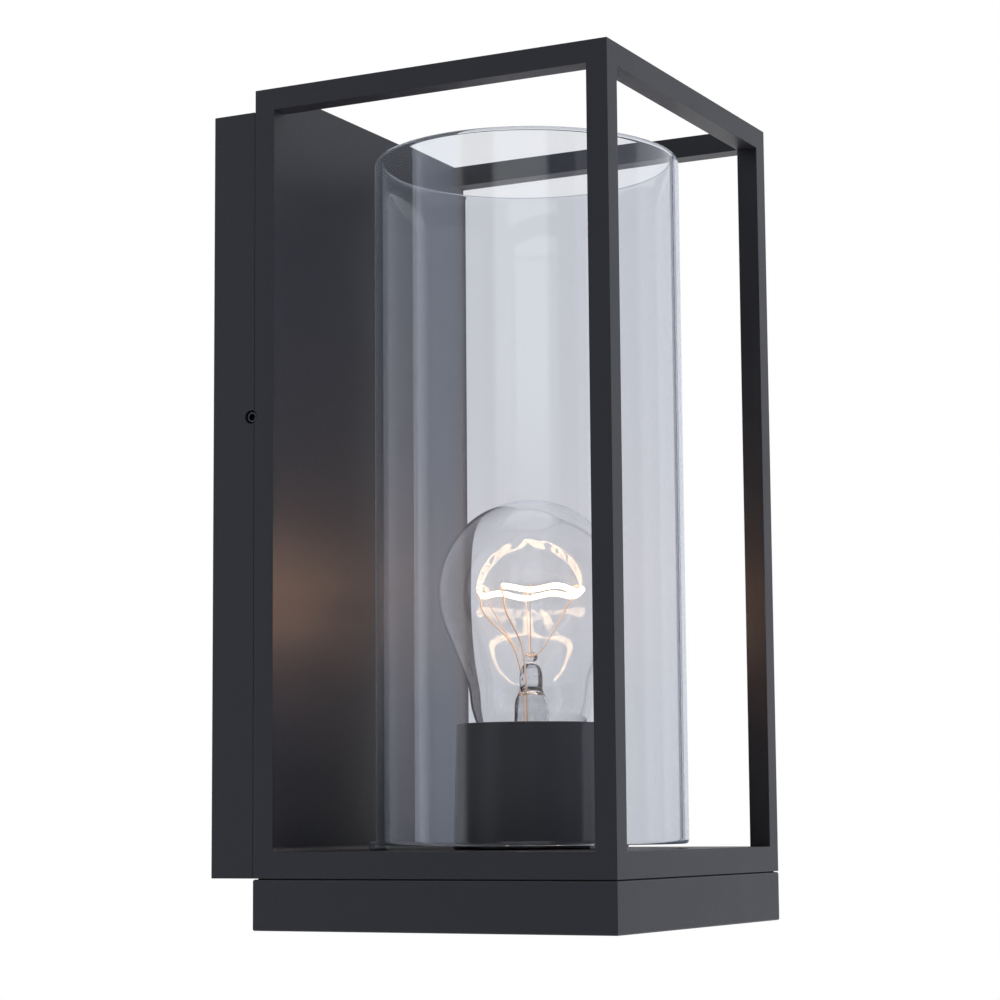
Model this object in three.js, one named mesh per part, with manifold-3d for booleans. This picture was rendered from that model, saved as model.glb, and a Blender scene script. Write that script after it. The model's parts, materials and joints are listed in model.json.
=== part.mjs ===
// Outdoor wall lantern: a powder-coated cage hung on a shallow wall box, with a clear glass
// cylinder standing open-topped round a screw-in bulb.
// Millimetres, +Z up. X runs to the right as seen from the front, the front faces -Y and the
// wall is the plane y = 0. The origin is the middle of the wall box's back face.
import * as THREE from "three";
import * as BufferGeometryUtils from "three/addons/utils/BufferGeometryUtils.js";
import Module from "manifold-3d";

const wasm = await Module();
wasm.setup();

// Driving dimensions
const WIDTH = 127;                // across the front, the same for wall box, cage and base
const WALL_BOX_DEPTH = 15.5;
const WALL_BOX_HEIGHT = 243;
const CAGE_DEPTH = 124;
const CAGE_TOP = 128.5;           // the cage stands a little above the wall box
const BASE_DEPTH_BELOW = 16;      // base cover, below the parting line
const BAR = 7;                    // square bars, top rails and back panel
const BOX_WALL = 2.5;
const SKIRT_WALL = 3.5;
const FLOOR_TOP = -113.4;
const FLOOR_UNDER = -116.9;
const PARTING_GAP = 0.3;
const AXIS_Y = -80.6;             // common axis of glass, lampholder and bulb
const GLASS_RADIUS = 50;
const GLASS_WALL = 2.6;
const GLASS_BOTTOM = -112;
const GLASS_TOP = 110.5;
const COVER_TOP = -73.5;
const BULB_RADIUS = 30;
const BULB_CENTRE = -31.2;
const BULB_GLASS_WALL = 0.8;
const CAP_TOP = -79.5;            // top rim of the bulb's metal cap
const CAP_RADIUS = 13.1;
const THREAD_PITCH = 3.629;
const CONTACT_TIP = -106.5;
const FIT = 0.3;                  // clearance left between neighbouring pieces

// Planes worked out from them
const HALF = WIDTH / 2;
const BACK = -WALL_BOX_DEPTH;               // where the cage meets the wall box
const FRONT = BACK - CAGE_DEPTH;
const PARTING = -WALL_BOX_HEIGHT / 2;       // underside of the cage and of the wall box
const BASE_TOP = PARTING - PARTING_GAP;
const BASE_BOTTOM = PARTING - BASE_DEPTH_BELOW;
const PANEL_FRONT = BACK - BAR;
const OPEN_HALF = HALF - BAR;               // half width of the windows

const X = new THREE.Vector3(1, 0, 0);
const Y = new THREE.Vector3(0, 1, 0);
const Z = new THREE.Vector3(0, 0, 1);

// ---------------------------------------------------------------- solids from geometries

// Signed volume of an indexed mesh, positive where its faces point outwards.
function signedVolume(corners, triangles) {
  const a = new THREE.Vector3();
  const b = new THREE.Vector3();
  const c = new THREE.Vector3();
  let volume = 0;
  for (let i = 0; i < triangles.length; i += 3) {
    a.fromArray(corners, 3 * triangles[i]);
    b.fromArray(corners, 3 * triangles[i + 1]);
    c.fromArray(corners, 3 * triangles[i + 2]);
    volume += a.dot(b.cross(c)) / 6;
  }
  return volume;
}

function solid(geometry) {
  const bare = new THREE.BufferGeometry();
  bare.setAttribute("position", geometry.getAttribute("position"));
  bare.setIndex(geometry.getIndex());
  const merged = BufferGeometryUtils.mergeVertices(bare, 1e-4);
  const corners = merged.getAttribute("position").array;
  const index = merged.getIndex().array;
  const triangles = [];
  for (let i = 0; i < index.length; i += 3) {
    const [a, b, c] = [index[i], index[i + 1], index[i + 2]];
    if (a !== b && b !== c && c !== a) {
      triangles.push(a, b, c);
    }
  }
  if (signedVolume(corners, triangles) < 0) {
    triangles.reverse();
  }
  return new wasm.Manifold(new wasm.Mesh({
    numProp: 3,
    vertProperties: new Float32Array(corners),
    triVerts: new Uint32Array(triangles),
  }));
}

function geometryOf(body) {
  const mesh = body.getMesh();
  const geometry = new THREE.BufferGeometry();
  geometry.setAttribute("position", new THREE.BufferAttribute(new Float32Array(mesh.vertProperties), 3));
  geometry.setIndex(new THREE.BufferAttribute(new Uint32Array(mesh.triVerts), 1));
  return geometry;
}

function box(x0, x1, y0, y1, z0, z1) {
  const geometry = new THREE.BoxGeometry(x1 - x0, y1 - y0, z1 - z0);
  geometry.translate((x0 + x1) / 2, (y0 + y1) / 2, (z0 + z1) / 2);
  return solid(geometry);
}

// Round (or, with 6 sides, hexagonal) rod that starts at a point and runs along a unit axis.
function rod(start, axis, length, radius, sides = 24) {
  const geometry = new THREE.CylinderGeometry(radius, radius, length, sides);
  geometry.translate(0, length / 2, 0);
  geometry.applyQuaternion(new THREE.Quaternion().setFromUnitVectors(Y, axis));
  geometry.translate(start.x, start.y, start.z);
  return solid(geometry);
}

// Turned shape: the outline holds (radius, height) points and goes round the upright axis.
function turned(outline, sides, start = 0, angle = 2 * Math.PI) {
  const geometry = new THREE.LatheGeometry(outline, sides, start, angle);
  geometry.rotateX(Math.PI / 2);
  return solid(geometry);
}

function ringOutline(inner, outer, bottom, top) {
  return [
    new THREE.Vector2(inner, bottom),
    new THREE.Vector2(outer, bottom),
    new THREE.Vector2(outer, top),
    new THREE.Vector2(inner, top),
    new THREE.Vector2(inner, bottom),
  ];
}

function tubeAlong(points, radius, steps, corners = 4) {
  const section = new THREE.Shape();
  section.absarc(0, 0, radius, 0, 2 * Math.PI);
  return new THREE.ExtrudeGeometry(section, {
    extrudePath: new THREE.CatmullRomCurve3(points, false, "centripetal"),
    steps,
    curveSegments: corners,
    bevelEnabled: false,
  });
}

const at = (x, y, z) => new THREE.Vector3(x, y, z);

// ---------------------------------------------------------------- materials

const finish = (color, roughness, metalness) =>
  new THREE.MeshStandardMaterial({ color, roughness, metalness });
const powderCoat = finish(0x2b2d30, 0.62, 0.1);
const rubber = finish(0x1d1d1f, 0.9, 0);
const silicone = finish(0xb9bbc0, 0.55, 0);
const clearGlass = finish(0xdfe1ec, 0.04, 0);
const blackPlastic = finish(0x17181a, 0.4, 0);
const porcelain = finish(0xe9e6dd, 0.3, 0);
const nickel = finish(0xb8b6ae, 0.3, 1);
const brass = finish(0xb08d4a, 0.35, 1);
const steel = finish(0x9a9ca0, 0.35, 1);
const tungsten = finish(0xf6c27a, 0.5, 1);
const whiteNylon = finish(0xe6e4dc, 0.5, 0);
const brownSleeve = finish(0x6b3a1e, 0.5, 0);
const blueSleeve = finish(0x2b5ea8, 0.5, 0);
const greenSleeve = finish(0x5f9a34, 0.5, 0);

const lantern = new THREE.Group();
lantern.name = "outdoor_wall_lantern";

function place(group, name, geometry, material) {
  const mesh = new THREE.Mesh(geometry, material);
  mesh.name = name;
  group.add(mesh);
}

// ---------------------------------------------------------------- wall box

const LOCK_SCREW_Z = 23;
const LOCK_SCREW_Y = BACK + 1.3;   // close to the seam, so its hole just breaks into the cage's edge
const LOCK_SCREW_RADIUS = 1.95;
const LOCK_HOLE_RADIUS = 2.2;
const LUG_OUTER = 56.6;            // outer end of the cage's lug, which the screw bears on
const LOCK_BOSS_INNER = 57;
const LOCK_BOSS_DEPTH = 6;
const LOCK_BOSS_HALF = 5;
const CABLE_HOLE_Z = -34;
const CABLE_HOLE_RADIUS = 9;
const WALL_SLOT_Z = 88;
const WALL_SLOT_LENGTH = 14;
const WALL_SLOT_WIDTH = 5;
const GASKET_OUTER = 4;           // in from the box's edge
const GASKET_INNER = 7;
const GASKET_GROOVE = 1.2;
const BOX_EARTH = at(-32, -5.5, -60);

function wallGasketRing(depth, slack) {
  const outerX = HALF - GASKET_OUTER - slack;
  const innerX = HALF - GASKET_INNER + slack;
  const outerZ = -PARTING - GASKET_OUTER - slack;
  const innerZ = -PARTING - GASKET_INNER + slack;
  const outer = box(-outerX, outerX, -depth, 0, -outerZ, outerZ);
  return outer.subtract(box(-innerX, innerX, -depth - 1, 1, -innerZ, innerZ));
}

// Threaded hole for a lock screw, from outside the object to the lug it bears on.
function lockHole(side) {
  const axis = at(side, 0, 0);
  const start = at(side * LUG_OUTER, LOCK_SCREW_Y, LOCK_SCREW_Z);
  return rod(start, axis, HALF + 1 - LUG_OUTER, LOCK_HOLE_RADIUS, 28);
}

function wallBox() {
  let body = box(-HALF, HALF, BACK, 0, PARTING, -PARTING);
  const insideX = HALF - BOX_WALL;
  const insideZ = -PARTING - BOX_WALL;
  body = body.subtract(box(-insideX, insideX, BACK - 1, -BOX_WALL, -insideZ, insideZ));
  const bossRoot = -BOX_WALL + 0.5;
  body = body.add(rod(at(BOX_EARTH.x, BOX_EARTH.y, BOX_EARTH.z), Y, bossRoot - BOX_EARTH.y, 4.5));
  body = body.subtract(rod(at(BOX_EARTH.x, BOX_EARTH.y - 1, BOX_EARTH.z), Y, 5, 1.75, 16));
  for (const side of [-1, 1]) {
    const near = side < 0 ? -insideX - 0.5 : LOCK_BOSS_INNER;
    body = body.add(box(near, near + insideX + 0.5 - LOCK_BOSS_INNER, BACK, BACK + LOCK_BOSS_DEPTH,
      LOCK_SCREW_Z - LOCK_BOSS_HALF, LOCK_SCREW_Z + LOCK_BOSS_HALF));
    body = body.subtract(lockHole(side));
    const slotZ = side * WALL_SLOT_Z;
    const slotHalf = (WALL_SLOT_LENGTH - WALL_SLOT_WIDTH) / 2;
    body = body.subtract(box(-slotHalf, slotHalf, -BOX_WALL - 1, 1,
      slotZ - WALL_SLOT_WIDTH / 2, slotZ + WALL_SLOT_WIDTH / 2));
    for (const end of [-slotHalf, slotHalf]) {
      body = body.subtract(rod(at(end, -BOX_WALL - 1, slotZ), Y, BOX_WALL + 2, WALL_SLOT_WIDTH / 2, 20));
    }
  }
  body = body.subtract(rod(at(0, -BOX_WALL - 1, CABLE_HOLE_Z), Y, BOX_WALL + 2, CABLE_HOLE_RADIUS, 32));
  const groove = wallGasketRing(GASKET_GROOVE, 0);
  return body.subtract(groove.add(groove.translate([0, GASKET_GROOVE / 2, 0])));
}

// The grommet is turned about the upright axis and then laid along Y in the cable hole.
function cableGrommet() {
  const barrel = CABLE_HOLE_RADIUS - 0.2;
  const flange = CABLE_HOLE_RADIUS + 3;
  const plate = BOX_WALL + 0.2;
  const outline = [
    new THREE.Vector2(3.6, 0.2),
    new THREE.Vector2(barrel, 0.2),
    new THREE.Vector2(barrel, plate),
    new THREE.Vector2(flange, plate),
    new THREE.Vector2(flange - 0.6, plate + 2.2),
    new THREE.Vector2(6.4, plate + 3.4),
    new THREE.Vector2(5.2, plate + 5.4),
    new THREE.Vector2(3.6, plate + 5.4),
    new THREE.Vector2(3.6, 0.2),
  ];
  return turned(outline, 32).rotate([90, 0, 0]).translate([0, 0, CABLE_HOLE_Z]);
}

// A pan-head screw: the point is where the underside of its head rests, the axis points out of it.
function panScrew(seat, axis, headRadius, headHeight, shankRadius, shankLength, recessRadius) {
  let screw = rod(seat, axis, headHeight, headRadius, 16);
  const tip = seat.clone().addScaledVector(axis, -shankLength);
  screw = screw.add(rod(tip, axis, shankLength + 0.1, shankRadius, 10));
  const recess = seat.clone().addScaledVector(axis, headHeight * 0.4);
  return screw.subtract(rod(recess, axis, headHeight, recessRadius, 6));
}

function flatWasher(start, axis, inner, outer, thickness) {
  const before = start.clone().addScaledVector(axis, -1);
  return rod(start, axis, thickness, outer, 20).subtract(rod(before, axis, thickness + 2, inner, 16));
}

const OUT_FRONT = Y.clone().negate();
const wallMount = new THREE.Group();
place(wallMount, "wall_box", geometryOf(wallBox()), powderCoat);
place(wallMount, "wall_gasket", geometryOf(wallGasketRing(GASKET_GROOVE - 0.1, 0.15)), rubber);
place(wallMount, "cable_grommet", geometryOf(cableGrommet()), rubber);
const BOX_WASHER = 0.8;
place(wallMount, "box_earth_washer", geometryOf(
  flatWasher(BOX_EARTH, OUT_FRONT, 1.9, 4, BOX_WASHER)), brass);
place(wallMount, "box_earth_screw", geometryOf(panScrew(
  at(BOX_EARTH.x, BOX_EARTH.y - BOX_WASHER, BOX_EARTH.z), OUT_FRONT, 3.2, 2.2, 1.5, 4, 1.1)), brass);

// ---------------------------------------------------------------- cage

const POCKET_FLOOR = BACK - 4;              // the panel is hollowed from behind
const POCKET_HALF = 54;
const POCKET_BOTTOM = -96;
const POCKET_TOP = 112;
const CHANNEL_HALF = 9;                     // wires drop through it to the base
const CHANNEL_FRONT = BACK - 5.5;
const FOOT_FILLET = 1.6;
const BOSS_X = 52;
const BOSS_FRONT = FRONT + 11.5;
const BOSS_REAR = BACK - 11.5;
const BOSS_RADIUS = 4.5;
const LUG_INNER = 50;
const LUG_DEPTH = 6;
const LUG_HALF_HEIGHT = 6;
const EARTH_BOSS = at(30, BACK - 1.2, -78);
const NIPPLE_HOLE = 5.2;
const DRAIN = at(44, -116, FLOOR_UNDER);
const baseScrewPlaces = {
  front_left: at(-BOSS_X, BOSS_FRONT, 0),
  front_right: at(BOSS_X, BOSS_FRONT, 0),
  rear_left: at(-BOSS_X, BOSS_REAR, 0),
  rear_right: at(BOSS_X, BOSS_REAR, 0),
};

function panelFootFillet() {
  const corner = new THREE.Shape();
  corner.moveTo(0, 0);
  corner.lineTo(-FOOT_FILLET - 0.1, 0);
  corner.absarc(-FOOT_FILLET, FOOT_FILLET + 0.05, FOOT_FILLET, -Math.PI / 2, 0, false);
  corner.lineTo(0.05, FOOT_FILLET);
  const geometry = new THREE.ExtrudeGeometry(corner, { depth: WIDTH, curveSegments: 3, bevelEnabled: false });
  geometry.rotateX(Math.PI / 2);
  geometry.rotateZ(Math.PI / 2);
  geometry.translate(-HALF, PANEL_FRONT, FLOOR_TOP - 0.05);
  return solid(geometry);
}

function cage() {
  const windowFront = FRONT + BAR;
  let body = box(-HALF, HALF, FRONT, BACK, PARTING, CAGE_TOP);
  body = body.subtract(box(-OPEN_HALF, OPEN_HALF, windowFront, PANEL_FRONT, FLOOR_TOP, CAGE_TOP + 1));
  body = body.subtract(box(-OPEN_HALF, OPEN_HALF, FRONT - 1, windowFront + 1, FLOOR_TOP, CAGE_TOP - BAR));
  body = body.subtract(box(-HALF - 1, HALF + 1, windowFront, PANEL_FRONT, FLOOR_TOP, CAGE_TOP - BAR));
  body = body.subtract(box(-HALF + SKIRT_WALL, HALF - SKIRT_WALL, FRONT + SKIRT_WALL, BACK - SKIRT_WALL,
    PARTING - 1, FLOOR_UNDER));
  for (const place of Object.values(baseScrewPlaces)) {
    body = body.add(rod(at(place.x, place.y, PARTING), Z, FLOOR_UNDER - PARTING + 1, BOSS_RADIUS));
    body = body.subtract(rod(at(place.x, place.y, PARTING - 1), Z, 7.4, 2.1, 16));
  }
  body = body.subtract(rod(at(0, AXIS_Y, FLOOR_UNDER - 1), Z, 6, NIPPLE_HOLE));
  body = body.subtract(rod(at(DRAIN.x, DRAIN.y, DRAIN.z - 1), Z, 6, 1.1, 12));
  body = body.subtract(box(-POCKET_HALF, POCKET_HALF, POCKET_FLOOR, BACK + 1, POCKET_BOTTOM, POCKET_TOP));
  body = body.subtract(box(-CHANNEL_HALF, CHANNEL_HALF, CHANNEL_FRONT, BACK + 1, PARTING - 1,
    POCKET_BOTTOM + 1));
  for (const side of [-1, 1]) {
    const near = side < 0 ? -LUG_OUTER : LUG_INNER;
    body = body.add(box(near, near + LUG_OUTER - LUG_INNER, POCKET_FLOOR - 0.5, BACK + LUG_DEPTH,
      LOCK_SCREW_Z - LUG_HALF_HEIGHT, LOCK_SCREW_Z + LUG_HALF_HEIGHT));
    body = body.subtract(lockHole(side));
    body = body.subtract(rod(at(side * (LUG_OUTER - 1), LOCK_SCREW_Y, LOCK_SCREW_Z), at(side, 0, 0), 2, 1.2, 12));
  }
  body = body.add(rod(at(EARTH_BOSS.x, POCKET_FLOOR - 0.5, EARTH_BOSS.z), Y,
    EARTH_BOSS.y - POCKET_FLOOR + 0.5, 4));
  body = body.subtract(rod(at(EARTH_BOSS.x, EARTH_BOSS.y - 4.6, EARTH_BOSS.z), Y, 6, 1.7, 16));
  body = body.subtract(rod(at(TERMINAL_SCREW.x, POCKET_FLOOR - 1.8, TERMINAL_SCREW.z), Y, 3, 1.5, 16));
  return body.add(panelFootFillet());
}

// ---------------------------------------------------------------- terminal block and earth tag

const TERMINAL_POLES = { live: -10, neutral: 0, earth: 10 };
const TERMINAL_HALF_WIDTH = 15.5;
const TERMINAL_FRONT = POCKET_FLOOR + FIT;
const TERMINAL_REAR = TERMINAL_FRONT + 11;
const TERMINAL_BOTTOM = -70;
const TERMINAL_TOP = -54;
const TERMINAL_WIRE_Y = TERMINAL_REAR - 5.2;
const TERMINAL_SCREW = at(5, TERMINAL_REAR - 2.4, -62);
const CLAMP_ROWS = { lower: TERMINAL_BOTTOM + 3.4, upper: TERMINAL_TOP - 3.4 };
const CLAMP_RADIUS = 1.7;

function terminalBlock() {
  let body = box(-TERMINAL_HALF_WIDTH, TERMINAL_HALF_WIDTH, TERMINAL_FRONT, TERMINAL_REAR,
    TERMINAL_BOTTOM, TERMINAL_TOP);
  for (const x of [-5, 5]) {
    body = body.subtract(box(x - 0.6, x + 0.6, TERMINAL_FRONT + 6, TERMINAL_REAR + 1,
      TERMINAL_BOTTOM - 1, TERMINAL_TOP + 1));
  }
  for (const x of Object.values(TERMINAL_POLES)) {
    for (const z of [TERMINAL_BOTTOM - 1, TERMINAL_TOP - 5]) {
      body = body.subtract(rod(at(x, TERMINAL_WIRE_Y, z), Z, 6, 1.5, 10));
    }
    for (const z of Object.values(CLAMP_ROWS)) {
      body = body.subtract(rod(at(x, TERMINAL_REAR - 3.6, z), Y, 5, CLAMP_RADIUS + 0.2, 12));
    }
  }
  body = body.subtract(rod(at(TERMINAL_SCREW.x, TERMINAL_SCREW.y, TERMINAL_SCREW.z), Y, 4, 2.5, 20));
  return body.subtract(rod(at(TERMINAL_SCREW.x, TERMINAL_FRONT - 1, TERMINAL_SCREW.z), Y, 12, 1.6, 16));
}

function clampScrew(x, z) {
  const screw = rod(at(x, TERMINAL_REAR - 3.3, z), Y, 2.6, CLAMP_RADIUS, 12);
  const top = TERMINAL_REAR - 0.7;
  return screw.subtract(box(x - 2, x + 2, top - 0.8, top + 1, z - 0.3, z + 0.3));
}

const TAG_THICKNESS = 0.7;
const TAG_BARREL_START = 6.5;
const TAG_BARREL_LENGTH = 4.5;

// Ring terminal on the end of the earth wire: a flat eye, a neck and a crimped barrel.
function earthTag() {
  const eye = flatWasher(EARTH_BOSS, Y, 1.9, 3.7, TAG_THICKNESS);
  const neck = box(EARTH_BOSS.x - TAG_BARREL_START - 0.5, EARTH_BOSS.x - 3.2, EARTH_BOSS.y,
    EARTH_BOSS.y + TAG_THICKNESS, EARTH_BOSS.z - 1.3, EARTH_BOSS.z + 1.3);
  const barrel = rod(at(EARTH_BOSS.x - TAG_BARREL_START, EARTH_BOSS.y + 1.3, EARTH_BOSS.z),
    X.clone().negate(), TAG_BARREL_LENGTH, 1.5, 14);
  return eye.add(neck).add(barrel);
}

// ---------------------------------------------------------------- base cover and its seal

const BASE_FLOOR = 2.5;
const SEAL_INSET = 1;
const SEAL_WIDTH = 1.6;
const SEAL_DEPTH = 1.4;
const HEAD_RADIUS = 3.5;
const HEAD_HEIGHT = 2.4;
const HEAD_RECESS = 2.9;

function sealRing(slack, bottom, top) {
  const out = SEAL_INSET + slack;
  const inn = SEAL_INSET + SEAL_WIDTH - slack;
  const outer = box(-HALF + out, HALF - out, FRONT + out, BACK - out, bottom, top);
  return outer.subtract(box(-HALF + inn, HALF - inn, FRONT + inn, BACK - inn, bottom - 1, top + 1));
}

function baseCover() {
  let body = box(-HALF, HALF, FRONT, BACK, BASE_BOTTOM, BASE_TOP);
  body = body.subtract(box(-HALF + SKIRT_WALL, HALF - SKIRT_WALL, FRONT + SKIRT_WALL, BACK - SKIRT_WALL,
    BASE_BOTTOM + BASE_FLOOR, BASE_TOP + 1));
  for (const place of Object.values(baseScrewPlaces)) {
    body = body.add(rod(at(place.x, place.y, BASE_BOTTOM + 0.5), Z, BASE_TOP - BASE_BOTTOM - 0.5, 5.5));
    body = body.subtract(rod(at(place.x, place.y, BASE_BOTTOM - 1), Z, 20, 2.2, 16));
    body = body.subtract(rod(at(place.x, place.y, BASE_BOTTOM - 1), Z, HEAD_RECESS + 1, HEAD_RADIUS + 0.4, 20));
  }
  body = body.subtract(rod(at(0, FRONT + 20, BASE_BOTTOM - 1), Z, BASE_FLOOR + 2, 1.5, 14));
  return body.subtract(sealRing(0, BASE_TOP - SEAL_DEPTH, BASE_TOP + 1));
}

function baseScrew(place) {
  return panScrew(at(place.x, place.y, BASE_BOTTOM + HEAD_RECESS - 0.1), Z.clone().negate(), HEAD_RADIUS,
    HEAD_HEIGHT, 1.9, 19, 1.5);
}

// ---------------------------------------------------------------- glass and the pads it stands on

const PAD_HALF_ANGLE = 6;
const PAD_ANGLES = { rear_left: 114, front: 234, rear_right: 354 };
const GLASS_SIDES = 48;

// Upright wedge round the axis between two angles in degrees, used to cut an arc out of a ring.
function wedge(middle, halfAngle, reach, bottom, top) {
  const from = (middle - halfAngle) * Math.PI / 180;
  const to = (middle + halfAngle) * Math.PI / 180;
  const sector = new THREE.Shape();
  sector.moveTo(0, 0);
  sector.lineTo(reach * Math.cos(from), reach * Math.sin(from));
  sector.lineTo(reach * Math.cos(to), reach * Math.sin(to));
  const geometry = new THREE.ExtrudeGeometry(sector, { depth: top - bottom, bevelEnabled: false });
  geometry.translate(0, 0, bottom);
  return solid(geometry);
}

// Silicone pad: a foot under the glass and a low lip outside it that keeps the glass centred.
function glassPad(angle) {
  const inner = GLASS_RADIUS - 3.4;
  const outer = GLASS_RADIUS + 2.2;
  const lip = GLASS_RADIUS + FIT;
  const outline = [
    new THREE.Vector2(inner, FLOOR_TOP),
    new THREE.Vector2(outer, FLOOR_TOP),
    new THREE.Vector2(outer, GLASS_BOTTOM + 0.9),
    new THREE.Vector2(outer - 0.5, GLASS_BOTTOM + 1.4),
    new THREE.Vector2(lip, GLASS_BOTTOM + 1.4),
    new THREE.Vector2(lip, GLASS_BOTTOM - 0.02),
    new THREE.Vector2(inner, GLASS_BOTTOM - 0.02),
    new THREE.Vector2(inner, FLOOR_TOP),
  ];
  return turned(outline, 120).intersect(wedge(angle, PAD_HALF_ANGLE, 70, FLOOR_TOP - 1, GLASS_BOTTOM + 3));
}

// Straight tube with both rims melted round.
function glassCylinder() {
  const rim = GLASS_WALL / 2;
  const middle = GLASS_RADIUS - rim;
  const path = new THREE.Path();
  path.absarc(middle, GLASS_BOTTOM + rim, rim, Math.PI, 2 * Math.PI, false);
  path.absarc(middle, GLASS_TOP - rim, rim, 0, Math.PI, false);
  path.closePath();
  return turned(path.getPoints(2), GLASS_SIDES);
}

// ---------------------------------------------------------------- lampholder

const COVER_FOOT_RADIUS = 25.4;
const COVER_RIM_RADIUS = 24;
const COVER_WALL = 2;
const COVER_FOOT = FLOOR_TOP + 0.1;
const HOLDER_RADIUS = 19;
const HOLDER_BORE = 15;
const HOLDER_BOTTOM = COVER_FOOT + COVER_WALL;
const HOLDER_FLOOR = -108.4;
const HOLDER_TOP = -81;
const SHELL_INNER = 13.7;
const SHELL_OUTER = 14.4;
const NIPPLE_RADIUS = 5;
const NIPPLE_BORE = 3.6;
const NIPPLE_BOTTOM = -122.4;
const NIPPLE_TOP = HOLDER_FLOOR - 1.4;
const NUT_ACROSS_CORNERS = 16.2;
const NUT_HEIGHT = 3;
const LOCK_WASHER = 0.8;

function lampholderCover() {
  const slope = (COVER_RIM_RADIUS - COVER_FOOT_RADIUS) / (COVER_TOP - COVER_FOOT);
  const footInner = COVER_FOOT_RADIUS - COVER_WALL + slope * COVER_WALL;
  const outline = [
    new THREE.Vector2(NIPPLE_HOLE, COVER_FOOT),
    new THREE.Vector2(COVER_FOOT_RADIUS, COVER_FOOT),
    new THREE.Vector2(COVER_RIM_RADIUS, COVER_TOP),
    new THREE.Vector2(COVER_RIM_RADIUS - COVER_WALL, COVER_TOP),
    new THREE.Vector2(footInner, HOLDER_BOTTOM),
    new THREE.Vector2(NIPPLE_HOLE, HOLDER_BOTTOM),
    new THREE.Vector2(NIPPLE_HOLE, COVER_FOOT),
  ];
  return turned(outline, 48);
}

function lampholderBody() {
  const body = rod(at(0, 0, HOLDER_BOTTOM + 0.02), Z, HOLDER_TOP - HOLDER_BOTTOM, HOLDER_RADIUS, 36);
  const bore = rod(at(0, 0, HOLDER_FLOOR), Z, HOLDER_TOP - HOLDER_FLOOR + 1, HOLDER_BORE, 32);
  const threaded = rod(at(0, 0, HOLDER_BOTTOM - 1), Z, NIPPLE_TOP + 0.3 - HOLDER_BOTTOM + 1, NIPPLE_HOLE);
  return body.subtract(bore).subtract(threaded);
}

// Spring tongue: one end riveted to the holder's floor, the free end under the bulb's tip.
function centreContact() {
  const tongueTop = CONTACT_TIP - 0.2;
  const tongue = box(-4, 12, -2.5, 2.5, tongueTop - 0.6, tongueTop);
  return tongue.add(box(9, 12, -2.5, 2.5, HOLDER_FLOOR, tongueTop));
}

function ring(inner, outer, bottom, top, sides = 32) {
  return turned(ringOutline(inner, outer, bottom, top), sides);
}

// ---------------------------------------------------------------- bulb

const CAP_BOTTOM = -101;
const CAP_WALL = 0.5;
const THREAD_DEPTH = 0.6;
const NECK_BOTTOM = CAP_TOP + FIT;
const STEM_TOP = -55;
const BUTTON_CENTRE = -52;
const BUTTON_RADIUS = 2.2;
const FILAMENT_Z = -31;
const FILAMENT_RADIUS = 16.7;
const FILAMENT_GAP = 50;          // degrees left open between the filament's ends
const FILAMENT_ENDS = 150;        // direction of the open side, degrees from the X axis
const SUPPORT_COUNT = 5;
const BULB_SIDES = 20;

// Outside of the glass from the neck to the crown, drawn in by the wall's thickness.
function bulbOutline(wall, bottom) {
  const radius = BULB_RADIUS - wall;
  const tangent = -21.1 * Math.PI / 180;
  const path = new THREE.Path();
  path.moveTo(0, bottom);
  path.lineTo(13.2 - wall, bottom);
  path.lineTo(13.2 - wall, NECK_BOTTOM);
  path.splineThru([
    new THREE.Vector2(17.8 - wall, -73),
    new THREE.Vector2(19.3 - wall, -68),
    new THREE.Vector2(19.7 - wall, -62),
    new THREE.Vector2(21.8 - wall, -56),
    new THREE.Vector2(radius * Math.cos(tangent), BULB_CENTRE + radius * Math.sin(tangent)),
  ]);
  path.absarc(0, BULB_CENTRE, radius, tangent, Math.PI / 2, false);
  return path.getPoints(3);
}

function bulbGlass() {
  const outside = turned(bulbOutline(0, NECK_BOTTOM), BULB_SIDES);
  const inside = turned(bulbOutline(BULB_GLASS_WALL, NECK_BOTTOM - 1), BULB_SIDES);
  return outside.subtract(inside);
}

// Rolled thread of the cap, as rings of the right pitch.
function bulbCap() {
  const outer = [];
  const turns = 4;
  const threadBottom = CAP_TOP - 3 - turns * THREAD_PITCH;
  outer.push(new THREE.Vector2(CAP_RADIUS - THREAD_DEPTH, CAP_BOTTOM));
  for (let i = 0; i < turns; i += 1) {
    outer.push(new THREE.Vector2(CAP_RADIUS - 2 * THREAD_DEPTH, threadBottom + i * THREAD_PITCH));
    outer.push(new THREE.Vector2(CAP_RADIUS, threadBottom + (i + 0.5) * THREAD_PITCH));
  }
  outer.push(new THREE.Vector2(CAP_RADIUS - 2 * THREAD_DEPTH, CAP_TOP - 3));
  outer.push(new THREE.Vector2(CAP_RADIUS, CAP_TOP - 2));
  outer.push(new THREE.Vector2(CAP_RADIUS, CAP_TOP));
  const inner = outer.map((point) => new THREE.Vector2(point.x - CAP_WALL, point.y)).reverse();
  return turned([...outer, ...inner, outer[0]], 16);
}

function bulbInsulator() {
  return turned([
    new THREE.Vector2(0, -104.9),
    new THREE.Vector2(5.2, -104.9),
    new THREE.Vector2(6.2, -103.6),
    new THREE.Vector2(11.8, CAP_BOTTOM - 1),
    new THREE.Vector2(11.8, CAP_BOTTOM - FIT),
    new THREE.Vector2(0, CAP_BOTTOM - FIT),
  ], 24);
}

function bulbContact() {
  return turned([
    new THREE.Vector2(0, CONTACT_TIP),
    new THREE.Vector2(3, CONTACT_TIP + 0.3),
    new THREE.Vector2(4.6, CONTACT_TIP + 1),
    new THREE.Vector2(4.6, -105.1),
    new THREE.Vector2(0, -105.1),
  ], 20);
}

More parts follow.
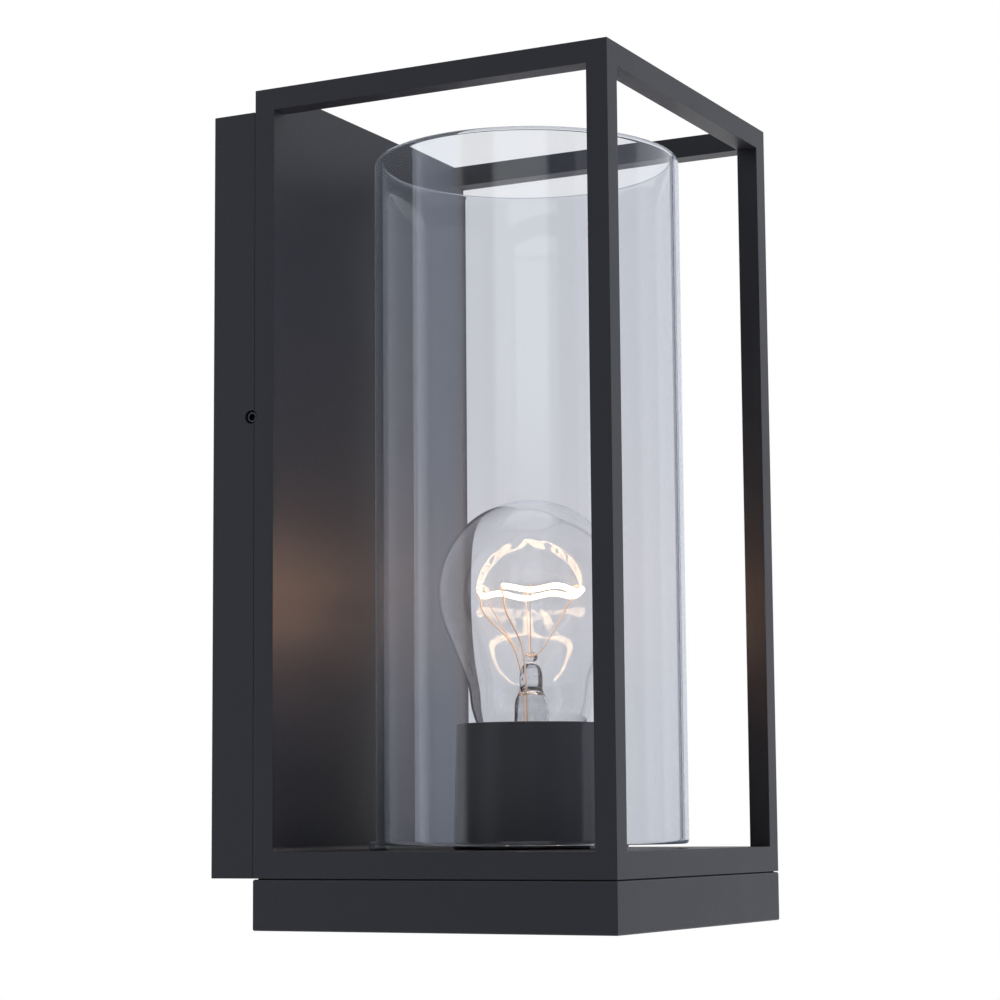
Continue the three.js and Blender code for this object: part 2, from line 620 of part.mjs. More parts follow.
function bulbStem() {
  return turned([
    new THREE.Vector2(0, -78.6),
    new THREE.Vector2(11.6, -78.6),
    new THREE.Vector2(11.4, -77.6),
    new THREE.Vector2(6, -75),
    new THREE.Vector2(3.6, -70),
    new THREE.Vector2(3.1, -63),
    new THREE.Vector2(2.6, -60),
    new THREE.Vector2(1.4, -58.6),
    new THREE.Vector2(1.4, STEM_TOP),
    new THREE.Vector2(0, STEM_TOP),
  ], 20);
}

const onFilament = (degrees, radius) => at(
  radius * Math.cos(degrees * Math.PI / 180),
  radius * Math.sin(degrees * Math.PI / 180),
  FILAMENT_Z,
);

// Glass button with the fine wires that hold the filament up.
function filamentSupports() {
  const button = new THREE.SphereGeometry(BUTTON_RADIUS, 12, 8);
  button.translate(0, 0, BUTTON_CENTRE);
  let body = solid(button);
  const reach = FILAMENT_RADIUS - 0.9;
  const span = 360 - FILAMENT_GAP;
  for (let i = 0; i < SUPPORT_COUNT; i += 1) {
    const angle = FILAMENT_ENDS + FILAMENT_GAP / 2 + span * (i + 0.5) / SUPPORT_COUNT;
    const end = onFilament(angle, reach);
    const start = at(0, 0, BUTTON_CENTRE);
    const axis = end.clone().sub(start);
    const length = axis.length();
    body = body.add(rod(start, axis.normalize(), length, 0.25, 6));
  }
  return body;
}

function filament() {
  const points = [];
  const steps = 24;
  for (let i = 0; i <= steps; i += 1) {
    const share = i / steps;
    points.push(onFilament(FILAMENT_ENDS + FILAMENT_GAP / 2 + (360 - FILAMENT_GAP) * share, FILAMENT_RADIUS));
  }
  return solid(tubeAlong(points, 0.45, 48, 3));
}

function leadWire(side) {
  const angle = FILAMENT_ENDS + side * FILAMENT_GAP / 2 - side * 4;
  const end = onFilament(angle, FILAMENT_RADIUS);
  const out = end.clone().setZ(0).normalize();
  return solid(tubeAlong([
    at(3.9 * out.x, 3.9 * out.y, -64),
    at(4.2 * out.x, 4.2 * out.y, -58),
    at(8 * out.x, 8 * out.y, -47),
    at(end.x, end.y, FILAMENT_Z - 2.5),
    end,
  ], 0.3, 14, 3));
}

// ---------------------------------------------------------------- internal wiring

const WIRE_RADIUS = 1.1;
const WIRE_END_Z = TERMINAL_BOTTOM + 1.2;

// From the terminal block down behind the panel, through the channel into the base, forward under
// the floor and up the nipple into the lampholder.
function supplyWire(pole, side) {
  const channelX = 3 * side;
  const nippleX = 1.4 * side;
  const channelY = CHANNEL_FRONT + 2.4;
  return solid(tubeAlong([
    at(pole, TERMINAL_WIRE_Y, WIRE_END_Z),
    at(pole, TERMINAL_WIRE_Y, WIRE_END_Z - 6),
    at(pole * 0.7 + channelX * 0.3, (TERMINAL_WIRE_Y + channelY) / 2, -87),
    at(channelX, channelY, -98),
    at(channelX, channelY, -110),
    at(channelX, channelY - 1, -117),
    at(channelX, channelY - 2.6, -121.5),
    at(channelX, channelY - 7, -127),
    at(channelX * 0.8, channelY - 18, -129),
    at(channelX * 0.6, (channelY + AXIS_Y) / 2 - 6, -129),
    at(nippleX, AXIS_Y + 10, -128.6),
    at(nippleX, AXIS_Y + 2, -126.6),
    at(nippleX, AXIS_Y, -122),
    at(nippleX, AXIS_Y, NIPPLE_TOP - 0.4),
  ], WIRE_RADIUS, 38, 3));
}

function earthWire() {
  const barrelEnd = EARTH_BOSS.x - TAG_BARREL_START - TAG_BARREL_LENGTH;
  return solid(tubeAlong([
    at(TERMINAL_POLES.earth, TERMINAL_WIRE_Y, WIRE_END_Z),
    at(TERMINAL_POLES.earth, TERMINAL_WIRE_Y, WIRE_END_Z - 4),
    at(TERMINAL_POLES.earth + 1.5, TERMINAL_WIRE_Y - 0.3, EARTH_BOSS.z + 0.6),
    at(barrelEnd - 3, EARTH_BOSS.y + 1.3, EARTH_BOSS.z - 0.6),
    at(barrelEnd - FIT, EARTH_BOSS.y + 1.3, EARTH_BOSS.z),
  ], WIRE_RADIUS, 14, 3));
}

// ---------------------------------------------------------------- lock screws

const LOCK_SCREW_OUTER = HALF - 0.7;
const LOCK_SCREW_INNER = LUG_OUTER + 0.2;
const LOCK_SOCKET_RADIUS = 1.15;
const LOCK_SOCKET_DEPTH = 2;

// Grub screw with a hex socket, threaded through the wall box and bearing on the cage's lug.
function lockScrew(side) {
  const axis = at(side, 0, 0);
  const centre = (x) => at(side * x, LOCK_SCREW_Y, LOCK_SCREW_Z);
  const shank = rod(centre(LOCK_SCREW_INNER), axis, LOCK_SCREW_OUTER - LOCK_SCREW_INNER, LOCK_SCREW_RADIUS, 24);
  const socket = rod(centre(LOCK_SCREW_OUTER - LOCK_SOCKET_DEPTH), axis, LOCK_SOCKET_DEPTH + 1,
    LOCK_SOCKET_RADIUS, 6);
  return shank.subtract(socket);
}

// ---------------------------------------------------------------- assembly

place(wallMount, "lock_screw_left", geometryOf(lockScrew(-1)), steel);
place(wallMount, "lock_screw_right", geometryOf(lockScrew(1)), steel);

const lampBody = new THREE.Group();
place(lampBody, "cage", geometryOf(cage()), powderCoat);
place(lampBody, "base_cover", geometryOf(baseCover()), powderCoat);
place(lampBody, "base_seal", geometryOf(sealRing(0.1, BASE_TOP - SEAL_DEPTH + 0.1, PARTING - 0.02)), rubber);
for (const [corner, spot] of Object.entries(baseScrewPlaces)) {
  place(lampBody, `base_screw_${corner}`, geometryOf(baseScrew(spot)), steel);
}
place(lampBody, "terminal_block", geometryOf(terminalBlock()), whiteNylon);
for (const [pole, x] of Object.entries(TERMINAL_POLES)) {
  for (const [row, z] of Object.entries(CLAMP_ROWS)) {
    place(lampBody, `clamp_screw_${pole}_${row}`, geometryOf(clampScrew(x, z)), steel);
  }
}
place(lampBody, "terminal_fixing_screw", geometryOf(
  panScrew(TERMINAL_SCREW, Y, 2.2, 1.6, 1.3, 8.2, 0.9)), steel);
place(lampBody, "earth_tag", geometryOf(earthTag()), nickel);
place(lampBody, "cage_earth_screw", geometryOf(panScrew(
  at(EARTH_BOSS.x, EARTH_BOSS.y + TAG_THICKNESS, EARTH_BOSS.z), Y, 3, 2, 1.5, 4.4, 1.1)), brass);
place(lampBody, "live_wire", geometryOf(supplyWire(TERMINAL_POLES.live, -1)), brownSleeve);
place(lampBody, "neutral_wire", geometryOf(supplyWire(TERMINAL_POLES.neutral, 1)), blueSleeve);
place(lampBody, "earth_wire", geometryOf(earthWire()), greenSleeve);

// Everything turned about the upright axis of the glass
const onAxis = new THREE.Group();
onAxis.position.set(0, AXIS_Y, 0);
place(onAxis, "glass_cylinder", geometryOf(glassCylinder()), clearGlass);
for (const [where, angle] of Object.entries(PAD_ANGLES)) {
  place(onAxis, `glass_pad_${where}`, geometryOf(glassPad(angle)), silicone);
}
place(onAxis, "lampholder_cover", geometryOf(lampholderCover()), blackPlastic);
place(onAxis, "lampholder_body", geometryOf(lampholderBody()), porcelain);
place(onAxis, "lampholder_shell", geometryOf(ring(SHELL_INNER, SHELL_OUTER, -105.4, -83)), nickel);
place(onAxis, "centre_contact", geometryOf(centreContact()), brass);
place(onAxis, "nipple", geometryOf(ring(NIPPLE_BORE, NIPPLE_RADIUS, NIPPLE_BOTTOM, NIPPLE_TOP, 24)), steel);
const washerTop = FLOOR_UNDER;
const nutTop = washerTop - LOCK_WASHER;
place(onAxis, "nipple_washer", geometryOf(flatWasher(at(0, 0, nutTop), Z, NIPPLE_HOLE, 8, LOCK_WASHER)), steel);
place(onAxis, "nipple_nut", geometryOf(rod(at(0, 0, nutTop - NUT_HEIGHT), Z, NUT_HEIGHT,
  NUT_ACROSS_CORNERS / 2, 6).subtract(rod(at(0, 0, nutTop - NUT_HEIGHT - 1), Z, NUT_HEIGHT + 2, NIPPLE_HOLE))), brass);
place(onAxis, "bulb_glass", geometryOf(bulbGlass()), clearGlass);
place(onAxis, "bulb_cap", geometryOf(bulbCap()), nickel);
place(onAxis, "bulb_insulator", geometryOf(bulbInsulator()), blackPlastic);
place(onAxis, "bulb_contact", geometryOf(bulbContact()), steel);
place(onAxis, "bulb_stem", geometryOf(bulbStem()), clearGlass);
place(onAxis, "filament_supports", geometryOf(filamentSupports()), steel);
place(onAxis, "filament", geometryOf(filament()), tungsten);
place(onAxis, "lead_wire_live", geometryOf(leadWire(-1)), nickel);
place(onAxis, "lead_wire_neutral", geometryOf(leadWire(1)), nickel);

lantern.add(wallMount, lampBody, onAxis);

export default lantern;
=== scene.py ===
import json
import math

import bmesh
import bpy
from mathutils import Matrix, Vector


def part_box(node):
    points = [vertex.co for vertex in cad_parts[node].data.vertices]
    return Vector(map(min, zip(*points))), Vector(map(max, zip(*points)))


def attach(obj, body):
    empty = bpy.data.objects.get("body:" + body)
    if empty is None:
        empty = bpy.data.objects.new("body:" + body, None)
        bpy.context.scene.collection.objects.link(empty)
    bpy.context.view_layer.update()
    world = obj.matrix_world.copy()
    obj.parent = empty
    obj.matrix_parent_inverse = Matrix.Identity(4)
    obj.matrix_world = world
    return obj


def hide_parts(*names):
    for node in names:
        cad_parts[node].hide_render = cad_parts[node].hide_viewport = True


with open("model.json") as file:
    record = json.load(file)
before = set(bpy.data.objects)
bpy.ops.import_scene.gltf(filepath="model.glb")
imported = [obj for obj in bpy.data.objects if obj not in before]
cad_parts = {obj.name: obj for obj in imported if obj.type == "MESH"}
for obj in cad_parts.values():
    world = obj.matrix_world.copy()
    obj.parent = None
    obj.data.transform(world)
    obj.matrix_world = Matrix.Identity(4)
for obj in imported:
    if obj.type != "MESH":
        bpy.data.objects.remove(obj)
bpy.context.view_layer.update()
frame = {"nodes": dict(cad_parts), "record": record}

# ----------------------------------------------
# The camera stands low and to the left of the lantern, a long lens's distance away. It looks
# slightly upwards, at the cage's left side and its open front.

camera_spot = Vector((-0.7666, -0.4633, -0.1043))
camera_heading = math.radians(27.17)
camera_rise = math.radians(6.88)
camera_roll = math.radians(-0.45)
camera_lens = 95.68
film_width = 36
nearest_seen = 0.01

sight = Vector((
    math.cos(camera_rise) * math.cos(camera_heading),
    math.cos(camera_rise) * math.sin(camera_heading),
    math.sin(camera_rise),
))
camera = bpy.data.objects.new("camera", bpy.data.cameras.new("camera"))
camera.data.lens = camera_lens
camera.data.sensor_width = film_width
camera.data.clip_start = nearest_seen
camera.matrix_world = (
    Matrix.Translation(camera_spot)
    @ sight.to_track_quat("-Z", "Y").to_matrix().to_4x4()
    @ Matrix.Rotation(camera_roll, 4, "Z")
)
bpy.context.scene.collection.objects.link(camera)
bpy.context.scene.camera = camera
bpy.context.scene.view_settings.view_transform = "Standard"

# ----------------------------------------------
# The studio: a white tent all round with one dark gap on the side that the lantern is seen
# from, so its left flank stays darker than its front, and a plain pale floor well below it.
# Polished pieces mirror a tent with a few screens in it: a blue window, and a card in the gap.

floor_height = -0.62
floor_half = 1.6
floor_colour = (0.86, 0.86, 0.87)
floor_roughness = 0.9
softbox_spot = Vector((0.45, -1.3, 0.1))
softbox_aim = Vector((0, -0.08, 0))
softbox_width = 0.7
softbox_height = 1.0
softbox_power = 3.3
softbox_colour = (0.8, 0.92, 1.28)
tent_white = (1.0, 1.0, 1.02)
gap_dark = (0.035, 0.035, 0.038)
screen_softness = math.radians(3)
screen_top = (0.55, 0.75)
screen_foot_fade = 0.12
tent_screens = (
    (201, 44, -0.75, gap_dark),
    (305, 60, -0.75, (0.66, 0.73, 0.92)),
)
mirrored_screens = (
    (201, 44, -0.75, gap_dark),
    (202, 20, 0.06, (1.16, 1.2, 1.22)),
    (136, 15, -0.75, (1.0, 1.15, 1.4)),
    (108, 13, -0.75, (1.5, 1.65, 1.95)),
    (272, 27, -0.75, (0.35, 0.35, 0.38)),
)

floor_shape = bmesh.new()
bmesh.ops.create_grid(floor_shape, x_segments=1, y_segments=1, size=floor_half)
bmesh.ops.translate(floor_shape, verts=floor_shape.verts, vec=(0, 0, floor_height))
floor = bpy.data.objects.new("studio_floor", bpy.data.meshes.new("studio_floor"))
floor_shape.to_mesh(floor.data)
bpy.context.scene.collection.objects.link(floor)
floor_paint = bpy.data.materials.new("studio_floor_paint")
floor_paint.use_nodes = True
floor_shader = floor_paint.node_tree.nodes["Principled BSDF"]
floor_shader.inputs["Base Color"].default_value = (*floor_colour, 1)
floor_shader.inputs["Roughness"].default_value = floor_roughness
floor.data.materials.append(floor_paint)

tent = bpy.data.worlds.new("studio_tent")
bpy.context.scene.world = tent
tent.use_nodes = True
sky = tent.node_tree
sky.nodes.clear()


def falls_between(tree, value, start, end):
    """1 below start and 0 above end, with a soft step between them."""
    step = tree.nodes.new("ShaderNodeMapRange")
    step.interpolation_type = "SMOOTHSTEP"
    step.inputs["From Min"].default_value = start
    step.inputs["From Max"].default_value = end
    step.inputs["To Min"].default_value = 1
    step.inputs["To Max"].default_value = 0
    tree.links.new(value, step.inputs["Value"])
    return step.outputs["Result"]


def calculated(tree, operation, first, second):
    """A math node's result; either side is a socket or a number."""
    sums = tree.nodes.new("ShaderNodeMath")
    sums.operation = operation
    for socket, value in zip(sums.inputs, (first, second)):
        if isinstance(value, (int, float)):
            socket.default_value = value
        else:
            tree.links.new(value, socket)
    return sums.outputs["Value"]


def colour_between(tree, mask, low, high):
    """A colour that goes from low to high as the mask rises; each is a colour or a socket."""
    mix = tree.nodes.new("ShaderNodeMix")
    mix.data_type = "RGBA"
    tree.links.new(mask, mix.inputs[0])
    for socket, colour in ((mix.inputs[6], low), (mix.inputs[7], high)):
        if isinstance(colour, tuple):
            socket.default_value = (*colour, 1)
        else:
            tree.links.new(colour, socket)
    return mix.outputs[2]


direction = sky.nodes.new("ShaderNodeTexCoord")
level = sky.nodes.new("ShaderNodeVectorMath")
level.operation = "MULTIPLY"
level.inputs[1].default_value = (1, 1, 0)
sky.links.new(direction.outputs["Generated"], level.inputs[0])
heading = sky.nodes.new("ShaderNodeVectorMath")
heading.operation = "NORMALIZE"
sky.links.new(level.outputs["Vector"], heading.inputs[0])
height = sky.nodes.new("ShaderNodeSeparateXYZ")
sky.links.new(direction.outputs["Generated"], height.inputs["Vector"])


def tent_with(screens):
    """The tent's colour with screens in it: direction, half width, lowest rise and colour of each."""
    colour = tent_white
    for towards, half_width, lowest, light in screens:
        towards = math.radians(towards)
        half_width = math.radians(half_width)
        straight = sky.nodes.new("ShaderNodeVectorMath")
        straight.operation = "DOT_PRODUCT"
        straight.inputs[1].default_value = (math.cos(towards), math.sin(towards), 0)
        sky.links.new(heading.outputs["Vector"], straight.inputs[0])
        aside = calculated(sky, "ARCCOSINE", straight.outputs["Value"], 0.0)
        across = falls_between(sky, aside, half_width - screen_softness, half_width + screen_softness)
        below_top = falls_between(sky, height.outputs["Z"], *screen_top)
        below_foot = falls_between(sky, height.outputs["Z"], lowest, lowest + screen_foot_fade)
        between = calculated(sky, "SUBTRACT", below_top, below_foot)
        colour = colour_between(sky, calculated(sky, "MULTIPLY", across, between), colour, light)
    return colour


tent_light = sky.nodes.new("ShaderNodeBackground")
sky.links.new(tent_with(tent_screens), tent_light.inputs["Color"])
mirrored_tent = sky.nodes.new("ShaderNodeBackground")
sky.links.new(tent_with(mirrored_screens), mirrored_tent.inputs["Color"])
backdrop = sky.nodes.new("ShaderNodeBackground")
backdrop.inputs["Color"].default_value = (1, 1, 1, 1)

# Only the white backdrop is seen directly or straight through glass; the rest see the tent.
ray = sky.nodes.new("ShaderNodeLightPath")
mirrored = calculated(sky, "MINIMUM", ray.outputs["Glossy Depth"], 1.0)
straight_through = calculated(
    sky, "GREATER_THAN", calculated(sky, "SUBTRACT", ray.outputs["Is Transmission Ray"], mirrored), 0.5)
polished = sky.nodes.new("ShaderNodeMixShader")
sky.links.new(mirrored, polished.inputs["Fac"])
sky.links.new(tent_light.outputs["Background"], polished.inputs[1])
sky.links.new(mirrored_tent.outputs["Background"], polished.inputs[2])
either = sky.nodes.new("ShaderNodeMixShader")
sky.links.new(
    calculated(sky, "MAXIMUM", ray.outputs["Is Camera Ray"], straight_through), either.inputs["Fac"])
sky.links.new(polished.outputs["Shader"], either.inputs[1])
sky.links.new(backdrop.outputs["Background"], either.inputs[2])
sky_output = sky.nodes.new("ShaderNodeOutputWorld")
sky.links.new(either.outputs["Shader"], sky_output.inputs["Surface"])

front_box = bpy.data.lights.new("front_softbox", "AREA")
front_box.shape = "RECTANGLE"
front_box.size = softbox_width
front_box.size_y = softbox_height
front_box.energy = softbox_power
front_box.color = softbox_colour
front_softbox = bpy.data.objects.new("front_softbox", front_box)
front_softbox.matrix_world = (
    Matrix.Translation(softbox_spot)
    @ (softbox_aim - softbox_spot).to_track_quat("-Z", "Y").to_matrix().to_4x4()
)
front_softbox.visible_camera = False
front_softbox.visible_transmission = False
front_softbox.visible_glossy = False
bpy.context.scene.collection.objects.link(front_softbox)

# ----------------------------------------------
# Three die-cast aluminium shells: the shallow box screwed to the wall, the four-posted cage and
# the cover under its floor. Each is cast with rounded edges, then powder-coated anthracite with
# a fine grain, a little thinner and smoother where the coat draws back from an edge, and a little
# lighter there, partly from the thinner coat and partly as a painted sheen.

long_edge = 0.02
edge_radius = 0.0009
coat_colour = (0.0283, 0.0292, 0.0342)
coat_thin_and_edge_sheen_colour = (0.033, 0.034, 0.04)
coat_dust_colour = (0.075, 0.075, 0.076)
coat_roughness = (0.37, 0.49)
coat_shine = 0.22
edge_polish = 0.08
dust_dulling = 0.3


def node_group(name, values, results):
    """An empty shader node group with number inputs, given with their usual values, and outputs."""
    group = bpy.data.node_groups.new(name, "ShaderNodeTree")
    for label, usual in values.items():
        socket = group.interface.new_socket(label, in_out="INPUT", socket_type="NodeSocketFloat")
        socket.default_value = usual
    for label in results:
        group.interface.new_socket(label, in_out="OUTPUT", socket_type="NodeSocketFloat")
    given = group.nodes.new("NodeGroupInput")
    result = group.nodes.new("NodeGroupOutput")
    return group, given, result


def noise_in(tree, vector, scale, detail, roughness=0.5):
    """Noise on a vector; scale is a number or a socket."""
    noise = tree.nodes.new("ShaderNodeTexNoise")
    tree.links.new(vector, noise.inputs["Vector"])
    if isinstance(scale, (int, float)):
        noise.inputs["Scale"].default_value = scale
    else:
        tree.links.new(scale, noise.inputs["Scale"])
    noise.inputs["Detail"].default_value = detail
    noise.inputs["Roughness"].default_value = roughness
    return noise.outputs["Fac"]


# Grain of a sprayed, moulded or cast skin: fine bumps, and the slow mottle of an uneven coat.
grain_group, given, result = node_group(
    "skin_grain", {"Grain Scale": 2200.0, "Mottle Scale": 45.0}, ["Height", "Mottle"])
place = grain_group.nodes.new("ShaderNodeTexCoord")
fine = noise_in(grain_group, place.outputs["Object"], given.outputs["Grain Scale"], 3.0, 0.6)
slow = noise_in(grain_group, place.outputs["Object"], given.outputs["Mottle Scale"], 4.0, 0.55)
grain_group.links.new(fine, result.inputs["Height"])
grain_group.links.new(slow, result.inputs["Mottle"])

# Dust that settles on what faces upwards, in thin uneven drifts.
dust_group, given, result = node_group("settled_dust", {"Amount": 0.5, "Drift Scale": 60.0}, ["Dust"])
facing = dust_group.nodes.new("ShaderNodeNewGeometry")
upward = dust_group.nodes.new("ShaderNodeSeparateXYZ")
dust_group.links.new(facing.outputs["Normal"], upward.inputs["Vector"])
place = dust_group.nodes.new("ShaderNodeTexCoord")
drift = noise_in(dust_group, place.outputs["Object"], given.outputs["Drift Scale"], 6.0, 0.62)
open_sky = calculated(dust_group, "MAXIMUM", upward.outputs["Z"], 0.0)
settled = calculated(dust_group, "MULTIPLY", calculated(dust_group, "POWER", open_sky, 3.0), drift)
dust_group.links.new(
    calculated(dust_group, "MULTIPLY", settled, given.outputs["Amount"]), result.inputs["Dust"])


def new_finish(name, colour, roughness, metallic=0.0):
    """A material with its Principled shader's even values set."""
    material = bpy.data.materials.new(name)
    material.use_nodes = True
    shader = material.node_tree.nodes["Principled BSDF"]
    shader.inputs["Base Color"].default_value = (*colour, 1)
    shader.inputs["Roughness"].default_value = roughness
    shader.inputs["Metallic"].default_value = metallic
    return material, material.node_tree, shader


def placed_group(tree, group, **values):
    """A node group placed in a material; words in a value's name are joined by underscores."""
    node = tree.nodes.new("ShaderNodeGroup")
    node.node_tree = group
    for label, value in values.items():
        node.inputs[label.replace("_", " ")].default_value = value
    return node.outputs


def value_between(tree, mask, low, high, from_low=0.0, from_high=1.0):
    """A number that goes from low to high as the mask rises."""
    step = tree.nodes.new("ShaderNodeMapRange")
    step.inputs["From Min"].default_value = from_low
    step.inputs["From Max"].default_value = from_high
    step.inputs["To Min"].default_value = low
    step.inputs["To Max"].default_value = high
    tree.links.new(mask, step.inputs["Value"])
    return step.outputs["Result"]


def raise_skin(tree, shader, height, distance, strength=1.0):
    """Bump of a real depth, in metres, on the shader's normal."""
    bump = tree.nodes.new("ShaderNodeBump")
    bump.inputs["Distance"].default_value = distance
    bump.inputs["Strength"].default_value = strength
    tree.links.new(height, bump.inputs["Height"])
    tree.links.new(bump.outputs["Normal"], shader.inputs["Normal"])


powder_coat, tree, shader = new_finish("powder_coat", coat_colour, coat_roughness[0])
shader.inputs["Specular IOR Level"].default_value = coat_shine
grain = placed_group(tree, grain_group, Grain_Scale=1500.0, Mottle_Scale=38.0)
dust = placed_group(tree, dust_group, Amount=0.35, Drift_Scale=70.0)
edge = tree.nodes.new("ShaderNodeAttribute")
edge.attribute_name = "rounded_edge"
mottled = colour_between(
    tree, grain["Mottle"], tuple(0.9 * c for c in coat_colour), tuple(1.1 * c for c in coat_colour))
speckled = colour_between(
    tree, value_between(tree, grain["Height"], 0.0, 0.3, 0.5, 0.75), mottled, coat_thin_and_edge_sheen_colour)
# Along the rounded edges the coat takes its thin colour: a real thinning of the coat that also serves as
# a painted sheen on the edges.
thin_and_sheened_edges = colour_between(
    tree, calculated(tree, "MULTIPLY", edge.outputs["Fac"], grain["Mottle"]), speckled, coat_thin_and_edge_sheen_colour)
tree.links.new(colour_between(tree, dust["Dust"], thin_and_sheened_edges, coat_dust_colour), shader.inputs["Base Color"])
sprayed = value_between(tree, grain["Mottle"], *coat_roughness)
polished_edge = calculated(
    tree, "SUBTRACT", sprayed, calculated(tree, "MULTIPLY", edge.outputs["Fac"], edge_polish))
dulled = calculated(
    tree, "ADD", polished_edge, calculated(tree, "MULTIPLY", dust["Dust"], dust_dulling))
tree.links.new(dulled, shader.inputs["Roughness"])
raise_skin(tree, shader, grain["Height"], distance=0.00012, strength=0.55)


def welded_shape(node):
    """A CAD node's own shape with its triangles joined into whole flat faces."""
    shape = bmesh.new()
    shape.from_mesh(frame["nodes"][node].data)
    bmesh.ops.remove_doubles(shape, verts=shape.verts, dist=2e-6)
    bmesh.ops.dissolve_limit(
        shape, angle_limit=math.radians(0.4), verts=shape.verts, edges=shape.edges)
    return shape


def new_piece(name, shape, body, material, nodes, crease=35):
    """Turns a bmesh into a smooth-shaded piece that rides on a body and stands for CAD nodes."""
    mesh = bpy.data.meshes.new(name)
    shape.to_mesh(mesh)
    shape.free()
    for face in mesh.polygons:
        face.use_smooth = True
    mesh.set_sharp_from_angle(angle=math.radians(crease))
    mesh.materials.clear()
    mesh.materials.append(material)
    piece = bpy.data.objects.new(name, mesh)
    bpy.context.scene.collection.objects.link(piece)
    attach(piece, body)
    if nodes:
        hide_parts(*nodes)
    return piece


def rounded_casting(name, node, body):
    """A casting: the long straight outer edges are rounded and marked for the coat."""
    shape = welded_shape(node)
    marks = shape.faces.layers.float.new("rounded_edge")
    outer = [
        e for e in shape.edges
        if len(e.link_faces) == 2 and e.calc_length() > long_edge
        and math.radians(80) < e.calc_face_angle_signed(0) < math.radians(100)
    ]
    rounded = bmesh.ops.bevel(
        shape, geom=outer, offset=edge_radius, offset_type="OFFSET", segments=3, profile=0.5,
        affect="EDGES", material=-1, clamp_overlap=True)
    for face in rounded["faces"]:
        face[marks] = 1.0
    casting = new_piece(name, shape, body, powder_coat, [node])
    flat_first = casting.modifiers.new("flat_faces_stay_flat", "WEIGHTED_NORMAL")
    flat_first.keep_sharp = True
    flat_first.weight = 90
    return casting


rounded_casting("wall_box_casting", "wall_box", "wall_mount")
rounded_casting("cage_casting", "cage", "lamp_body")
rounded_casting("base_cover_casting", "base_cover", "lamp_body")

# ----------------------------------------------
# Black rubber keeps the rain out: a flat ring pressed against the wall, a cord seal between the
# cage and its base cover, and a stepped grommet that grips the supply cable. All are moulded.


def grained_finish(name, dark, light, smooth, rough, grain, mottle, depth, strength, dust=None):
    """A moulded or fired skin, mottled in colour and gloss, with fine grain of a given depth.

    grain and mottle are the patterns' scales; dust is its amount, drift scale and colour.
    """
    material, tree, shader = new_finish(name, light, smooth)
    skin = placed_group(tree, grain_group, Grain_Scale=grain, Mottle_Scale=mottle)
    colour = colour_between(tree, skin["Mottle"], dark, light)
    if dust:
        amount, drift_scale, dust_colour = dust
        settled = placed_group(tree, dust_group, Amount=amount, Drift_Scale=drift_scale)
        colour = colour_between(tree, settled["Dust"], colour, dust_colour)
    tree.links.new(colour, shader.inputs["Base Color"])
    tree.links.new(value_between(tree, skin["Mottle"], smooth, rough), shader.inputs["Roughness"])
    raise_skin(tree, shader, skin["Height"], depth, strength)
    return material, shader


rubber, shader = grained_finish(
    "moulded_rubber", dark=(0.015, 0.015, 0.016), light=(0.031, 0.031, 0.032), smooth=0.74, rough=0.9,
    grain=1100.0, mottle=90.0, depth=0.00006, strength=0.5, dust=(0.6, 140.0, (0.12, 0.12, 0.115)))
shader.inputs["Specular IOR Level"].default_value = 0.35


def softened(piece, width, segments=2, angle=30):
    """Rounds a piece's crisp edges with a live bevel."""
    bevel = piece.modifiers.new("soft_edges", "BEVEL")
    bevel.width = width
    bevel.segments = segments
    bevel.limit_method = "ANGLE"
    bevel.angle_limit = math.radians(angle)
    bevel.harden_normals = True
    return piece


def turned_shape(outline, steps=64):
    """Spins (radius, height) points, the section of a piece, round the upright axis.

    The section closes on itself; a side of it that lies on the axis isn't made.
    """
    shape = bmesh.new()
    corners = [shape.verts.new((radius, 0, height)) for radius, height in outline]
    edges = [
        shape.edges.new((start, end)) for start, end in zip(corners, corners[1:] + corners[:1])
        if start.co.x > 0 or end.co.x > 0
    ]
    bmesh.ops.spin(
        shape, geom=corners + edges, cent=(0, 0, 0), axis=(0, 0, 1), dvec=(0, 0, 0),
        angle=2 * math.pi, steps=steps, use_merge=True, use_duplicate=False)
    bmesh.ops.remove_doubles(shape, verts=shape.verts, dist=1e-6)
    bmesh.ops.recalc_face_normals(shape, faces=shape.faces)
    return shape


for node in ("wall_gasket", "base_seal"):
    body = "wall_mount" if node == "wall_gasket" else "lamp_body"
    seal = new_piece(node + "_rubber", welded_shape(node), body, rubber, [node])
    softened(seal, 0.0002)

grommet_low, grommet_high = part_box("cable_grommet")
grommet_radius = (grommet_high.x - grommet_low.x) / 2
grommet_length = grommet_high.y - grommet_low.y
cable_hole = 0.0036
barrel_radius = grommet_radius - 0.0032
flange_start = 0.0025
flange_end = flange_start + 0.0022
neck_start = flange_start + 0.0034
grommet_shape = turned_shape([
    (cable_hole, 0.0),
    (barrel_radius, 0.0),
    (barrel_radius, flange_start),
    (grommet_radius, flange_start),
    (grommet_radius - 0.0006, flange_end),
    (grommet_radius - 0.0056, neck_start),
    (grommet_radius - 0.0068, grommet_length),
    (cable_hole, grommet_length),
])
bmesh.ops.rotate(
    grommet_shape, verts=grommet_shape.verts, cent=(0, 0, 0),
    matrix=Matrix.Rotation(math.pi / 2, 3, "X"))
bmesh.ops.translate(
    grommet_shape, verts=grommet_shape.verts,
    vec=(0, grommet_high.y, (grommet_low.z + grommet_high.z) / 2))
softened(new_piece(
    "cable_grommet_rubber", grommet_shape, "wall_mount", rubber, ["cable_grommet"]),
    0.0003)

# ----------------------------------------------
# Screws with hexagon sockets: a blackened grub screw on each side of the wall box clamps the
# cage's lug, and four stainless pan heads sunk in the base cover hold it up. All have rolled threads.

